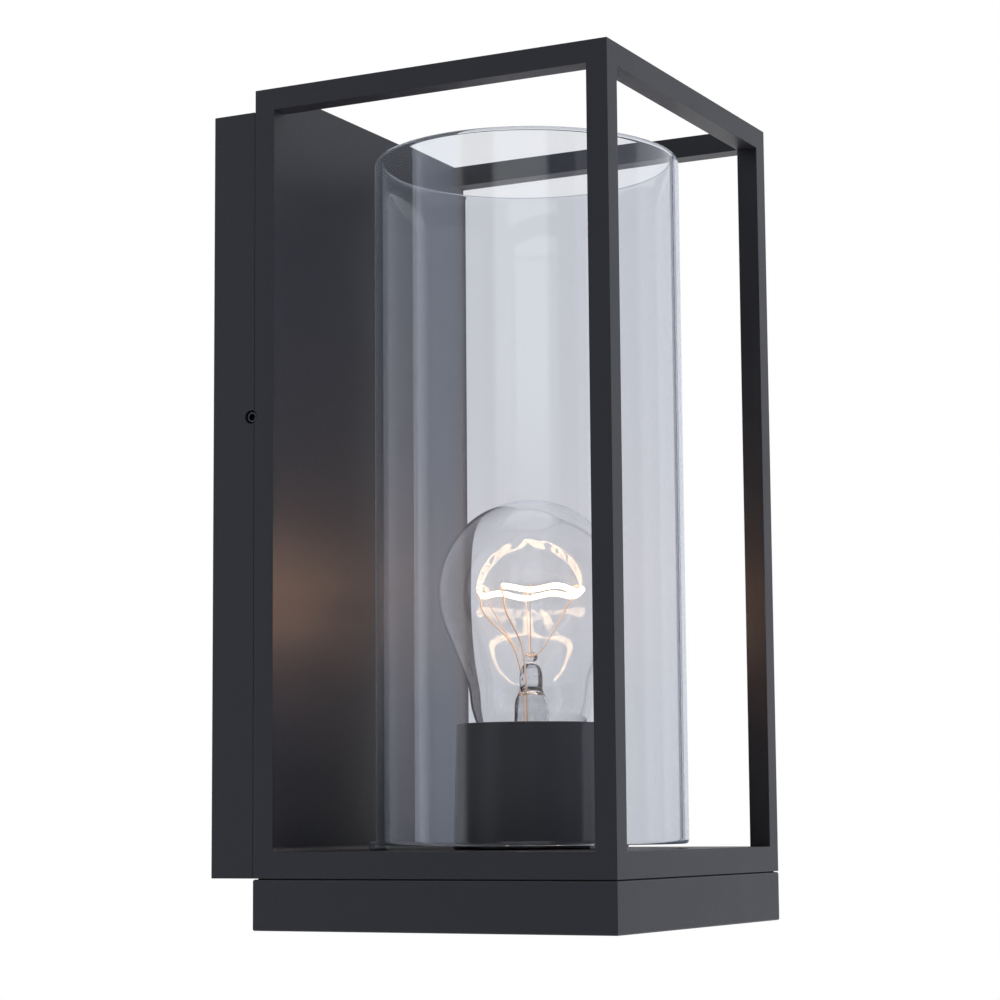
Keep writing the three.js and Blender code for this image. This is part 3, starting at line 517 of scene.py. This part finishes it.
marks_group, given, result = node_group(
    "tool_marks", {"Mark Scale": 900.0, "Stain Scale": 160.0}, ["Height", "Stain"])
place = marks_group.nodes.new("ShaderNodeTexCoord")
stretched = marks_group.nodes.new("ShaderNodeMapping")
stretched.inputs["Scale"].default_value = (1.0, 1.0, 0.08)
marks_group.links.new(place.outputs["Object"], stretched.inputs["Vector"])
lines = noise_in(marks_group, stretched.outputs["Vector"], given.outputs["Mark Scale"], 2.0)
stain = noise_in(marks_group, place.outputs["Object"], given.outputs["Stain Scale"], 5.0, 0.6)
marks_group.links.new(lines, result.inputs["Height"])
marks_group.links.new(stain, result.inputs["Stain"])


def marked_metal(name, dull, bright, smooth, rough, marks, stains, depth, strength):
    """A bare or plated metal with fine tool marks and slightly stained patches.

    marks and stains are the patterns' scales, and depth is that of the tool marks.
    """
    metal, tree, shader = new_finish(name, bright, smooth, 1.0)
    worn = placed_group(tree, marks_group, Mark_Scale=marks, Stain_Scale=stains)
    tree.links.new(colour_between(tree, worn["Stain"], dull, bright), shader.inputs["Base Color"])
    tree.links.new(value_between(tree, worn["Stain"], smooth, rough), shader.inputs["Roughness"])
    raise_skin(tree, shader, worn["Height"], depth, strength)
    return metal


steel = marked_metal(
    "stainless_steel", dull=(0.4, 0.4, 0.42), bright=(0.6, 0.6, 0.61), smooth=0.22, rough=0.42,
    marks=2400.0, stains=420.0, depth=0.00002, strength=0.5)
blackened = marked_metal(
    "blackened_steel", dull=(0.028, 0.028, 0.032), bright=(0.085, 0.085, 0.09), smooth=0.28, rough=0.46,
    marks=2000.0, stains=500.0, depth=0.00002, strength=0.4)


def loop_at(shape, radius, tolerance=1e-5):
    """The open edges whose corners all lie within a radius of the upright axis."""
    return [
        e for e in shape.edges
        if e.is_boundary and all(v.co.xy.length < radius + tolerance for v in e.verts)
    ]


def socket_screw_shape(rings, socket_radius, socket_depth):
    """A screw along Z whose face has a hexagon socket; rings are (radius, height), face first."""
    shape = bmesh.new()
    face_radius, face_height = rings[0]
    bmesh.ops.create_circle(shape, segments=6, radius=socket_radius)
    bmesh.ops.subdivide_edges(shape, edges=shape.edges[:], cuts=3)
    bmesh.ops.create_circle(shape, segments=24, radius=face_radius)
    bmesh.ops.bridge_loops(shape, edges=shape.edges[:])
    bmesh.ops.translate(shape, verts=shape.verts, vec=(0, 0, face_height))
    wall = bmesh.ops.extrude_edge_only(shape, edges=loop_at(shape, socket_radius))["geom"]
    deep = [g for g in wall if isinstance(g, bmesh.types.BMVert)]
    bmesh.ops.translate(shape, verts=deep, vec=(0, 0, -socket_depth))
    bmesh.ops.contextual_create(shape, geom=[g for g in wall if isinstance(g, bmesh.types.BMEdge)])
    loop = [e for e in shape.edges if e.is_boundary]
    for (radius, height), (last_radius, last_height) in zip(rings[1:], rings):
        grown = bmesh.ops.extrude_edge_only(shape, edges=loop)["geom"]
        corners = [g for g in grown if isinstance(g, bmesh.types.BMVert)]
        loop = [g for g in grown if isinstance(g, bmesh.types.BMEdge)]
        share = radius / last_radius
        bmesh.ops.scale(shape, verts=corners, vec=(share, share, 1))
        bmesh.ops.translate(shape, verts=corners, vec=(0, 0, height - last_height))
    bmesh.ops.contextual_create(shape, geom=loop)
    bmesh.ops.recalc_face_normals(shape, faces=shape.faces)
    return shape


def threaded_rings(radius, top, bottom, pitch, depth):
    """Ring after ring of a rolled thread from top to bottom."""
    count = int((top - bottom) / pitch)
    rings = []
    for turn in range(count):
        height = top - turn * pitch
        rings.append((radius - depth, height))
        rings.append((radius, height - 0.3 * pitch))
        rings.append((radius, height - 0.55 * pitch))
        rings.append((radius - depth, height - 0.85 * pitch))
    return rings


screw_pitch = 0.0007
lock_socket_radius = 0.00125
lock_socket_depth = 0.0021
for side, node in ((-1, "lock_screw_left"), (1, "lock_screw_right")):
    low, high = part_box(node)
    radius = (high.z - low.z) / 2
    length = high.x - low.x
    middle = (low + high) / 2
    rings = [(radius - 0.00035, length), (radius - 0.0001, length - 0.0003)]
    rings += threaded_rings(
        radius, top=length - 0.0005, bottom=0.0004, pitch=screw_pitch, depth=0.00018)
    rings.append((radius - 0.0006, 0.0))
    shape = socket_screw_shape(rings, lock_socket_radius, lock_socket_depth)
    turn = Matrix.Rotation(side * math.pi / 2, 3, "Y")
    bmesh.ops.rotate(shape, verts=shape.verts, cent=(0, 0, 0), matrix=turn)
    inner_end = low.x if side > 0 else high.x
    bmesh.ops.translate(shape, verts=shape.verts, vec=(inner_end, middle.y, middle.z))
    new_piece(node + "_steel", shape, node, blackened, [node])

screw_head_height = 0.0024
shank_radius = 0.0019
head_socket_radius = 0.0016
head_socket_depth = 0.0014
for corner in ("front_left", "front_right", "rear_left", "rear_right"):
    node = "base_screw_" + corner
    low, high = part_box(node)
    head_radius = (high.x - low.x) / 2
    middle = (low + high) / 2
    total = high.z - low.z
    neck = total - screw_head_height
    rings = [
        (head_radius - 0.0012, total),
        (head_radius - 0.0004, total - 0.0003),
        (head_radius, total - 0.001),
        (head_radius, neck + 0.0002),
        (head_radius - 0.0002, neck),
        (shank_radius, neck - 0.0001),
    ]
    rings += threaded_rings(
        shank_radius, top=neck - 0.001, bottom=0.0016, pitch=screw_pitch, depth=0.0002)
    rings.append((shank_radius - 0.0008, 0.0))
    shape = socket_screw_shape(rings, head_socket_radius, head_socket_depth)
    bmesh.ops.rotate(shape, verts=shape.verts, cent=(0, 0, 0), matrix=Matrix.Rotation(math.pi, 3, "X"))
    bmesh.ops.translate(shape, verts=shape.verts, vec=(middle.x, middle.y, high.z))
    new_piece(node + "_steel", shape, "lamp_body", steel, [node])

# ----------------------------------------------
# The weather glass is a straight length of drawn tube, open at both ends, faintly smoked, with
# its rims melted round in a flame. It stands loose on three silicone pads glued to the floor.

glass_low, glass_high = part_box("glass_cylinder")
lamp_axis = Vector((0, (glass_low.y + glass_high.y) / 2, 0))
glass_radius = (glass_high.x - glass_low.x) / 2
glass_wall = 0.0026
smoke_colour = (0.144, 0.233, 0.403)
smoke_density = 72
haze_tint = (0.8, 0.9, 1.0)
round_steps = 128
rim_steps = 10


def clear_glass(name, tint, roughness, index):
    """Clear glass that lets the light that falls on other pieces straight through."""
    material, tree, shader = new_finish(name, tint, roughness)
    shader.inputs["Transmission Weight"].default_value = 1.0
    shader.inputs["IOR"].default_value = index
    path = tree.nodes.new("ShaderNodeLightPath")
    passing = calculated(tree, "MAXIMUM", path.outputs["Is Shadow Ray"], path.outputs["Is Diffuse Ray"])
    straight = tree.nodes.new("ShaderNodeBsdfTransparent")
    straight.inputs["Color"].default_value = (*(0.97 * c for c in tint), 1)
    both = tree.nodes.new("ShaderNodeMixShader")
    tree.links.new(passing, both.inputs["Fac"])
    tree.links.new(shader.outputs["BSDF"], both.inputs[1])
    tree.links.new(straight.outputs["BSDF"], both.inputs[2])
    tree.links.new(both.outputs["Shader"], tree.nodes["Material Output"].inputs["Surface"])
    return material, tree, shader


tube_glass, tree, shader = clear_glass(
    "drawn_glass_tube", tint=(0.97, 0.97, 0.975), roughness=0.0, index=1.5)
smoke = tree.nodes.new("ShaderNodeVolumeAbsorption")
smoke.inputs["Color"].default_value = (*smoke_colour, 1)
smoke.inputs["Density"].default_value = smoke_density
shader.inputs["Transmission Weight"].default_value = 0.97
shader.inputs["Sheen Weight"].default_value = 0.5
shader.inputs["Sheen Roughness"].default_value = 0.4
shader.inputs["Sheen Tint"].default_value = (*haze_tint, 1)
tree.links.new(smoke.outputs["Volume"], tree.nodes["Material Output"].inputs["Volume"])
place = tree.nodes.new("ShaderNodeTexCoord")
drawn = tree.nodes.new("ShaderNodeMapping")
drawn.inputs["Scale"].default_value = (1.0, 1.0, 0.05)
tree.links.new(place.outputs["Object"], drawn.inputs["Vector"])
ripples = noise_in(tree, drawn.outputs["Vector"], scale=70.0, detail=1.0)
raise_skin(tree, shader, ripples, distance=0.0002, strength=0.12)


def arc(centre_radius, centre_height, radius, start, end, count):
    """Points of an arc in a turned outline, between two angles in degrees."""
    points = []
    for i in range(count + 1):
        angle = math.radians(start + (end - start) * i / count)
        points.append((
            centre_radius + radius * math.cos(angle), centre_height + radius * math.sin(angle)))
    return points


def moved_to(shape, spot):
    """The same shape, moved by a distance."""
    bmesh.ops.translate(shape, verts=shape.verts, vec=spot)
    return shape


rim = glass_wall / 2
rim_end = rim + 0.0004
tube_outline = (
    [(glass_radius - glass_wall, glass_low.z + rim_end)]
    + arc(glass_radius - rim, glass_low.z + rim, rim, 180, 360, rim_steps)
    + [(glass_radius, glass_low.z + rim_end), (glass_radius, glass_high.z - rim_end)]
    + arc(glass_radius - rim, glass_high.z - rim, rim, 0, 180, rim_steps)
    + [(glass_radius - glass_wall, glass_high.z - rim_end)]
)
new_piece(
    "weather_glass", moved_to(turned_shape(tube_outline, round_steps), lamp_axis), "glass",
    tube_glass, ["glass_cylinder"], 80)

silicone, shader = grained_finish(
    "milky_silicone", dark=(0.19, 0.195, 0.22), light=(0.29, 0.295, 0.33), smooth=0.42, rough=0.6,
    grain=900.0, mottle=160.0, depth=0.00005, strength=0.4)
shader.inputs["Subsurface Weight"].default_value = 0.4
shader.inputs["Subsurface Radius"].default_value = (0.003, 0.003, 0.003)

pad_half_angle = 6
pad_thickness = 0.0014
pad_foot = glass_low.z - pad_thickness
pad_lip = glass_low.z + pad_thickness
pad_rounding = 0.0009
pad_inner = glass_radius - 0.0034
pad_outer = glass_radius + 0.0022
lip_inner = glass_radius + 0.0003
for angle, node in (
    (114, "glass_pad_rear_left"), (234, "glass_pad_front"), (354, "glass_pad_rear_right")
):
    shape = bmesh.new()
    section = shape.faces.new([shape.verts.new((radius, 0, height)) for radius, height in (
        (pad_inner, pad_foot), (pad_outer, pad_foot), (pad_outer, pad_lip), (lip_inner, pad_lip),
        (lip_inner, glass_low.z), (pad_inner, glass_low.z),
    )])
    bmesh.ops.spin(
        shape, geom=[section] + section.edges[:] + section.verts[:], cent=(0, 0, 0), axis=(0, 0, 1),
        dvec=(0, 0, 0), angle=math.radians(2 * pad_half_angle), steps=12, use_duplicate=False)
    bmesh.ops.rotate(
        shape, verts=shape.verts, cent=(0, 0, 0),
        matrix=Matrix.Rotation(math.radians(angle - pad_half_angle), 3, "Z"))
    bmesh.ops.recalc_face_normals(shape, faces=shape.faces)
    pad = new_piece(
        node + "_silicone", moved_to(shape, lamp_axis), "lamp_body", silicone, [node])
    softened(pad, pad_rounding, 4)

# ----------------------------------------------
# The lampholder: a black moulded cup hides a glazed porcelain body, which holds a rolled metal
# shell for the bulb's thread and a sprung centre contact. A hollow threaded nipple, a washer
# and a nut clamp it all to the cage's floor, and the wires come up through the nipple.

cup_plastic, shader = grained_finish(
    "black_phenolic", dark=(0.005, 0.005, 0.007), light=(0.009, 0.009, 0.011), smooth=0.3, rough=0.44,
    grain=700.0, mottle=55.0, depth=0.00004, strength=0.35, dust=(0.6, 120.0, (0.12, 0.118, 0.113)))
shader.inputs["Specular IOR Level"].default_value = 0.22

cup_low, cup_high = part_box("lampholder_cover")
cup_foot_radius = (cup_high.x - cup_low.x) / 2
cup_taper = 0.0014
cup_rim_radius = cup_foot_radius - cup_taper
cup_wall = 0.002
nipple_clearance = 0.0052
cup_shape = turned_shape([
    (nipple_clearance, cup_low.z),
    (cup_foot_radius, cup_low.z),
    (cup_rim_radius, cup_high.z),
    (cup_rim_radius - cup_wall, cup_high.z),
    (cup_foot_radius - cup_wall, cup_low.z + cup_wall),
    (nipple_clearance, cup_low.z + cup_wall),
], 96)
softened(new_piece(
    "lampholder_cup", moved_to(cup_shape, lamp_axis), "lamp_body", cup_plastic,
    ["lampholder_cover"]), 0.0005, 3)

glazed, shader = grained_finish(
    "glazed_porcelain", dark=(0.72, 0.7, 0.64), light=(0.83, 0.81, 0.76), smooth=0.12, rough=0.26,
    grain=300.0, mottle=120.0, depth=0.00008, strength=0.25)
shader.inputs["Coat Weight"].default_value = 0.6
shader.inputs["Coat Roughness"].default_value = 0.08

holder_low, holder_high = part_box("lampholder_body")
holder_radius = (holder_high.x - holder_low.x) / 2
holder_bore = 0.015
holder_floor = 0.0029
shoulder_top = holder_high.z - 0.0052
shoulder_foot = holder_high.z - 0.006
shoulder_radius = holder_radius - 0.0012
holder_shape = turned_shape([
    (nipple_clearance, holder_low.z),
    (holder_radius, holder_low.z),
    (holder_radius, shoulder_foot),
    (shoulder_radius, shoulder_top),
    (shoulder_radius, holder_high.z),
    (holder_bore, holder_high.z),
    (holder_bore, holder_low.z + holder_floor),
    (nipple_clearance, holder_low.z + holder_floor),
], 72)
softened(new_piece(
    "lampholder_porcelain", moved_to(holder_shape, lamp_axis), "lamp_body", glazed,
    ["lampholder_body"]), 0.0004, 2)

nickel = marked_metal(
    "nickel_plate", dull=(0.52, 0.49, 0.44), bright=(0.74, 0.71, 0.66), smooth=0.16, rough=0.36,
    marks=1600.0, stains=240.0, depth=0.00002, strength=0.4)
brass = marked_metal(
    "turned_brass", dull=(0.42, 0.28, 0.1), bright=(0.72, 0.53, 0.24), smooth=0.22, rough=0.42,
    marks=1800.0, stains=200.0, depth=0.00003, strength=0.5)

thread_pitch = 0.003629
roll_steps = 8


def rolled_wall(radius, depth, wall, low, high, first_crest):
    """Closed section of a thin wall with a rolled round thread between two heights."""
    count = int((high - low) / thread_pitch * roll_steps)
    heights = [low + (high - low) * i / count for i in range(count + 1)]
    outer = [(radius - depth * (1 - math.cos(
        2 * math.pi * (height - first_crest) / thread_pitch)) / 2, height) for height in heights]
    inner = [(outer_radius - wall, height) for outer_radius, height in reversed(outer)]
    return outer + inner


shell_low, shell_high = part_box("lampholder_shell")
shell_radius = (shell_high.x - shell_low.x) / 2
sheet_wall = 0.0004
shell_shape = turned_shape(rolled_wall(
    shell_radius, depth=0.0003, wall=sheet_wall, low=shell_low.z, high=shell_high.z,
    first_crest=shell_low.z))
new_piece(
    "lampholder_thread", moved_to(shell_shape, lamp_axis), "lamp_body", nickel,
    ["lampholder_shell"], 50)


def trimmed_copy(node, body, material, edge_width=0.00015):
    """A small part kept in its CAD shape, with its edges eased."""
    return softened(new_piece(
        node + "_part", welded_shape(node), body, material, [node]), edge_width, 2, 40)


record_slots = {part["node"]: part["material_slot"] for part in frame["record"]["subparts"]}
slot_finishes = {"nickel": nickel, "brass": brass, "steel": steel}
for node in ("centre_contact", "nipple", "nipple_washer", "nipple_nut"):
    trimmed_copy(node, "lamp_body", slot_finishes[record_slots[node]])

# ----------------------------------------------
# The bulb's envelope is blown from clear glass, a globe on a tapering neck. It is much thinner
# than the weather glass, and is cemented into the screw cap at its foot.

envelope_low, envelope_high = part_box("bulb_glass")
globe_radius = (envelope_high.x - envelope_low.x) / 2
globe_centre = envelope_high.z - globe_radius
envelope_wall = 0.0006
neck_radius = 0.0132
globe_start = -21.1
globe_steps = 40
neck_line = (
    (0.0156, 0.0035),
    (0.0178, 0.0064),
    (0.0193, 0.0112),
    (0.0201, 0.0172),
    (0.0222, 0.0232),
)


def eased(points, steps):
    """A smooth line through outline points, for the stretches that aren't arcs."""
    ends = [points[0]] + list(points) + [points[-1]]
    line = []
    for before, start, end, after in zip(ends, ends[1:], ends[2:], ends[3:]):
        for i in range(steps):
            t = i / steps
            line.append(tuple(
                0.5 * (2 * b + (c - a) * t + (2 * a - 5 * b + 4 * c - d) * t * t
                       + (3 * b - a - 3 * c + d) * t ** 3)
                for a, b, c, d in zip(before, start, end, after)))
    return line


def envelope_outline(inset):
    """From the neck's foot up to the crown, inset by part of the wall."""
    radius = globe_radius - inset
    start = math.radians(globe_start)
    foot = [(neck_radius - inset, envelope_low.z)]
    rising = [(across - inset, envelope_low.z + rise) for across, rise in neck_line]
    shoulder = [(radius * math.cos(start), globe_centre + radius * math.sin(start))]
    globe = arc(0, globe_centre, radius, globe_start, 90, globe_steps)[:-1]
    return eased(foot + rising + shoulder, 5) + globe + [(0, globe_centre + radius)]


blown_glass, tree, shader = clear_glass(
    "blown_bulb_glass", tint=(0.995, 0.995, 1.0), roughness=0.0, index=1.5)
place = tree.nodes.new("ShaderNodeTexCoord")
waves = noise_in(tree, place.outputs["Object"], scale=55.0, detail=1.0)
raise_skin(tree, shader, waves, distance=0.0001, strength=0.12)
outside = envelope_outline(0.0)
inside = envelope_outline(envelope_wall)
inside.reverse()
new_piece(
    "bulb_envelope_glass", moved_to(turned_shape(outside + inside, round_steps), lamp_axis),
    "bulb_envelope", blown_glass, ["bulb_glass"], 80)

# ----------------------------------------------
# The bulb's core turns with its cap: a nickel-plated brass screw cap with a black glass foot and
# a soldered tip, and on it the hollow glass stem, pinched flat at the top round the leads.

cap_low, cap_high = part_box("bulb_cap")
cap_radius = (cap_high.x - cap_low.x) / 2
cap_foot_radius = cap_radius - 0.0018
collar_foot = cap_high.z - 0.0025
cap_section = rolled_wall(
    cap_radius, depth=0.0011, wall=sheet_wall, low=cap_low.z + 0.001, high=collar_foot,
    first_crest=collar_foot)
half = len(cap_section) // 2
cap_outline = (
    [(cap_foot_radius, cap_low.z)]
    + cap_section[:half]
    + [(cap_radius, cap_high.z), (cap_radius - sheet_wall, cap_high.z)]
    + cap_section[half:]
    + [(cap_foot_radius - sheet_wall, cap_low.z)]
)
new_piece(
    "bulb_screw_cap", moved_to(turned_shape(cap_outline, 72), lamp_axis), "bulb_core", nickel,
    ["bulb_cap"], 50)

foot_glass, tree, shader = new_finish("black_vitrite", (0.016, 0.014, 0.018), 0.12)
grain = placed_group(tree, grain_group, Grain_Scale=260.0, Mottle_Scale=300.0)
tree.links.new(
    colour_between(tree, grain["Mottle"], (0.011, 0.01, 0.014), (0.024, 0.02, 0.03)),
    shader.inputs["Base Color"])
raise_skin(tree, shader, grain["Height"], distance=0.0001, strength=0.4)
solder, tree, shader = new_finish("tip_solder", (0.55, 0.55, 0.56), 0.35, 1.0)
marks = placed_group(tree, marks_group, Mark_Scale=700.0, Stain_Scale=500.0)
tree.links.new(
    colour_between(tree, marks["Stain"], (0.38, 0.38, 0.39), (0.68, 0.68, 0.69)),
    shader.inputs["Base Color"])
raise_skin(tree, shader, marks["Stain"], distance=0.0002, strength=0.5)
for node, material in (("bulb_insulator", foot_glass), ("bulb_contact", solder)):
    trimmed_copy(node, "bulb_core", material)

stem_low, stem_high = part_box("bulb_stem")
stem_glass, tree, shader = clear_glass(
    "stem_glass", tint=(0.93, 0.94, 0.945), roughness=0.02, index=1.52)
place = tree.nodes.new("ShaderNodeTexCoord")
dimples = noise_in(tree, place.outputs["Object"], scale=260.0, detail=2.0)
raise_skin(tree, shader, dimples, distance=0.0006, strength=0.5)
pinch_top = stem_high.z + 0.0012
pinch_foot = stem_high.z - 0.0078
flare_radius = 0.0056
tube_radius = 0.0041
stem_wall = 0.0006
hollow_top = pinch_foot - stem_wall
flattening = 0.5
pinch_turn = math.radians(150)
outer_wall = eased([
    (0.0116, stem_low.z),
    (0.0112, stem_low.z + 0.0012),
    (0.0074, stem_low.z + 0.0032),
    (flare_radius, stem_low.z + 0.0064),
    (flare_radius - 0.0002, pinch_foot - 0.0045),
    (tube_radius + 0.0005, pinch_foot - 0.0015),
    (tube_radius, pinch_foot),
    (tube_radius + 0.0002, pinch_foot + 0.004),
    (tube_radius - 0.0004, pinch_top - 0.0022),
    (0.0024, pinch_top - 0.0004),
], 4) + [(0, pinch_top)]
stem_bore = [
    (radius - stem_wall, height) for radius, height in outer_wall if height < hollow_top - 0.0005]
stem_shape = turned_shape([(0, hollow_top)] + stem_bore[::-1] + outer_wall, 48)
for corner in stem_shape.verts:
    pinched = min(1.0, max(0.0, (corner.co.z - pinch_foot + 0.002) / 0.004))
    corner.co.y *= 1 - flattening * pinched
bmesh.ops.rotate(
    stem_shape, verts=stem_shape.verts, cent=(0, 0, 0), matrix=Matrix.Rotation(pinch_turn, 3, "Z"))
new_piece(
    "stem_and_pinch", moved_to(stem_shape, lamp_axis), "bulb_core", stem_glass,
    ["bulb_stem"], 80)

# ----------------------------------------------
# The filament is a tungsten wire wound in a fine coil and hung in a broken ring, lit. Five thin
# molybdenum hooks hold it up from a glass button on the stem, and two leads feed its ends.

filament_low, filament_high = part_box("filament")
ring_height = (filament_low.z + filament_high.z) / 2
ring_radius = 0.0167
ring_gap = 50
open_side = 150
ring_sag = 0.0007
coil_wire = 0.00032
hook_wire_thickness = 0.00034
lead_thickness = 0.0006
filament_brightness = 9.0
hook_painted_glow = 0.5
coil_radius = 0.00075
coil_turns = 110
coil_points = 12
hook_count = 5
button_centre = Vector((0, lamp_axis.y, stem_high.z + 0.003))

lit_tungsten, tree, shader = new_finish("lit_tungsten", (0.4, 0.36, 0.3), 0.4, 1.0)
grain = placed_group(tree, grain_group, Grain_Scale=900.0, Mottle_Scale=260.0)
tree.links.new(
    colour_between(tree, grain["Mottle"], (1.0, 0.62, 0.3), (1.0, 0.8, 0.52)),
    shader.inputs["Emission Color"])
shader.inputs["Emission Strength"].default_value = filament_brightness


def on_ring(degrees, radius, height):
    """A spot at an angle and a distance round the bulb's axis."""
    angle = math.radians(degrees)
    return Vector((radius * math.cos(angle), lamp_axis.y + radius * math.sin(angle), height))


def wire_piece(name, lines, thickness, body, material, nodes):
    """Round wire along one or more lines of points."""
    curve = bpy.data.curves.new(name, "CURVE")
    curve.dimensions = "3D"
    curve.bevel_depth = thickness / 2
    curve.bevel_resolution = 2
    curve.use_fill_caps = True
    for points in lines:
        spline = curve.splines.new("POLY")
        spline.points.add(len(points) - 1)
        for point, spot in zip(spline.points, points):
            point.co = (*spot, 1)
        spline.use_smooth = True
    curve.materials.append(material)
    wire = bpy.data.objects.new(name, curve)
    bpy.context.scene.collection.objects.link(wire)
    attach(wire, body)
    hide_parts(*nodes)
    return wire


def curved(points, steps=8):
    """A smooth line of points through a few places of a bent wire."""
    return [Vector(p) for p in eased([tuple(p) for p in points], steps)] + [Vector(points[-1])]


coil = []
for i in range(coil_turns * coil_points + 1):
    share = i / (coil_turns * coil_points)
    along = open_side + ring_gap / 2 + (360 - ring_gap) * share
    sag = ring_sag * math.cos(2 * math.pi * hook_count * share)
    wound = 2 * math.pi * coil_turns * share
    coil.append(on_ring(
        along, ring_radius + coil_radius * math.cos(wound),
        ring_height + sag + coil_radius * math.sin(wound)))
wire_piece("filament_coil", [coil], coil_wire, "bulb_core", lit_tungsten, ["filament"])

hook_wire, tree, shader = new_finish("molybdenum_hooks", (0.55, 0.5, 0.45), 0.3, 1.0)
marks = placed_group(tree, marks_group, Mark_Scale=1500.0, Stain_Scale=700.0)
tree.links.new(
    colour_between(tree, marks["Stain"], (0.42, 0.36, 0.3), (0.7, 0.62, 0.54)),
    shader.inputs["Base Color"])
# The hooks and the leads, which share this finish, are painted with a faint warm glow. It stands in for
# the filament's light on them; they are no lamp.
shader.inputs["Emission Color"].default_value = (1.0, 0.6, 0.35, 1)
shader.inputs["Emission Strength"].default_value = hook_painted_glow
hooks = []
for i in range(hook_count):
    along = open_side + ring_gap / 2 + (360 - ring_gap) * (i + 0.5) / hook_count
    elbow = on_ring(along, 0.0052, button_centre.z + 0.0035)
    under = on_ring(along, ring_radius - 0.0012, ring_height - 0.0025)
    outside_spot = on_ring(along, ring_radius + 0.0014, ring_height - 0.0002)
    over = on_ring(along, ring_radius + 0.0002, ring_height + 0.0014)
    tail = on_ring(along, ring_radius - 0.0014, ring_height + 0.0004)
    hooks.append(curved([button_centre, elbow, under, outside_spot, over, tail]))
wire_piece(
    "filament_hooks", hooks, hook_wire_thickness, "bulb_core",
    hook_wire, ["filament_supports"])

button_radius = 0.0022
button_squash = 0.8
button_shape = bmesh.new()
bmesh.ops.create_uvsphere(button_shape, u_segments=32, v_segments=16, radius=button_radius)
bmesh.ops.scale(button_shape, verts=button_shape.verts, vec=(1.0, 1.0, button_squash))
button_shape = moved_to(button_shape, button_centre)
new_piece("stem_button", button_shape, "bulb_core", stem_glass, [], 80)

for side, node in ((1, "lead_wire_live"), (-1, "lead_wire_neutral")):
    along = open_side + side * ring_gap / 2
    lead = curved([
        on_ring(along, 0.0024, stem_low.z + 0.002),
        on_ring(along, 0.0026, pinch_foot - 0.003),
        on_ring(along, 0.0031, pinch_foot + 0.001),
        on_ring(along, 0.0036, pinch_top - 0.002),
        on_ring(along, 0.0068, pinch_top + 0.007),
        on_ring(along, 0.0148, ring_height - 0.0075),
        on_ring(along, ring_radius - 0.0003, ring_height - 0.0022),
        on_ring(along, ring_radius + 0.0009, ring_height),
        on_ring(along, ring_radius, ring_height + 0.0011),
    ])
    wire_piece(
        node + "_wire", [lead], lead_thickness, "bulb_core", hook_wire, [node])

# The heat of the lit coil, as points of light spaced along it.
glow_points = 6
glow_power = 0.11
glow_colour = (1.0, 0.56, 0.3)
for i in range(glow_points):
    glow = bpy.data.lights.new("filament_glow", "POINT")
    glow.energy = glow_power / glow_points
    glow.color = glow_colour
    glow.shadow_soft_size = 0.0
    filament_glow = bpy.data.objects.new("filament_glow", glow)
    filament_glow.location = on_ring(360 * i / glow_points, ring_radius, ring_height + 0.002)
    bpy.context.scene.collection.objects.link(filament_glow)

# ----------------------------------------------
# The wiring sits behind the panel: a white nylon terminal block takes the supply, sleeved wires
# run from it down to the lampholder, and ring-tagged earth screws bond the cage and wall box.

nylon, shader = grained_finish(
    "white_nylon", dark=(0.66, 0.65, 0.6), light=(0.78, 0.77, 0.72), smooth=0.38, rough=0.54,
    grain=800.0, mottle=90.0, depth=0.00005, strength=0.3)
shader.inputs["Subsurface Weight"].default_value = 0.15
shader.inputs["Subsurface Radius"].default_value = (0.001, 0.001, 0.0008)
trimmed_copy("terminal_block", "lamp_body", nylon, 0.0003)

for node in [
    "clamp_screw_live_lower", "clamp_screw_live_upper", "clamp_screw_neutral_lower",
    "clamp_screw_neutral_upper", "clamp_screw_earth_lower", "clamp_screw_earth_upper",
    "terminal_fixing_screw", "earth_tag", "cage_earth_screw",
]:
    trimmed_copy(node, "lamp_body", slot_finishes[record_slots[node]])
for node in ("box_earth_washer", "box_earth_screw"):
    trimmed_copy(node, "wall_mount", slot_finishes[record_slots[node]])

stripe_frequency = 2600.0
sleeves = {
    "live_wire": ("brown_sleeve", (0.19, 0.075, 0.035), (0.24, 0.1, 0.05)),
    "neutral_wire": ("blue_sleeve", (0.03, 0.12, 0.38), (0.045, 0.16, 0.46)),
    "earth_wire": ("green_sleeve", (0.1, 0.32, 0.05), (0.72, 0.66, 0.06)),
}
for node, (sleeve_slot, first_colour, second_colour) in sleeves.items():
    sleeve, tree, shader = new_finish(node + "_sleeve", first_colour, 0.48)
    grain = placed_group(tree, grain_group, Grain_Scale=1300.0, Mottle_Scale=210.0)
    mask = grain["Mottle"]
    if node == "earth_wire":
        place = tree.nodes.new("ShaderNodeTexCoord")
        stripe = tree.nodes.new("ShaderNodeSeparateXYZ")
        tree.links.new(place.outputs["Object"], stripe.inputs["Vector"])
        across = calculated(tree, "MULTIPLY", stripe.outputs["X"], stripe_frequency)
        mask = value_between(tree, calculated(tree, "SINE", across, 0.0), 0.0, 1.0, -0.1, 0.1)
    tree.links.new(colour_between(tree, mask, first_colour, second_colour), shader.inputs["Base Color"])
    raise_skin(tree, shader, grain["Height"], distance=0.00004, strength=0.4)
    wire = new_piece(node + "_run", welded_shape(node), "lamp_body", sleeve, [node], 60)
    rounder = wire.modifiers.new("round_section", "SUBSURF")
    rounder.levels = 2
    rounder.render_levels = 2
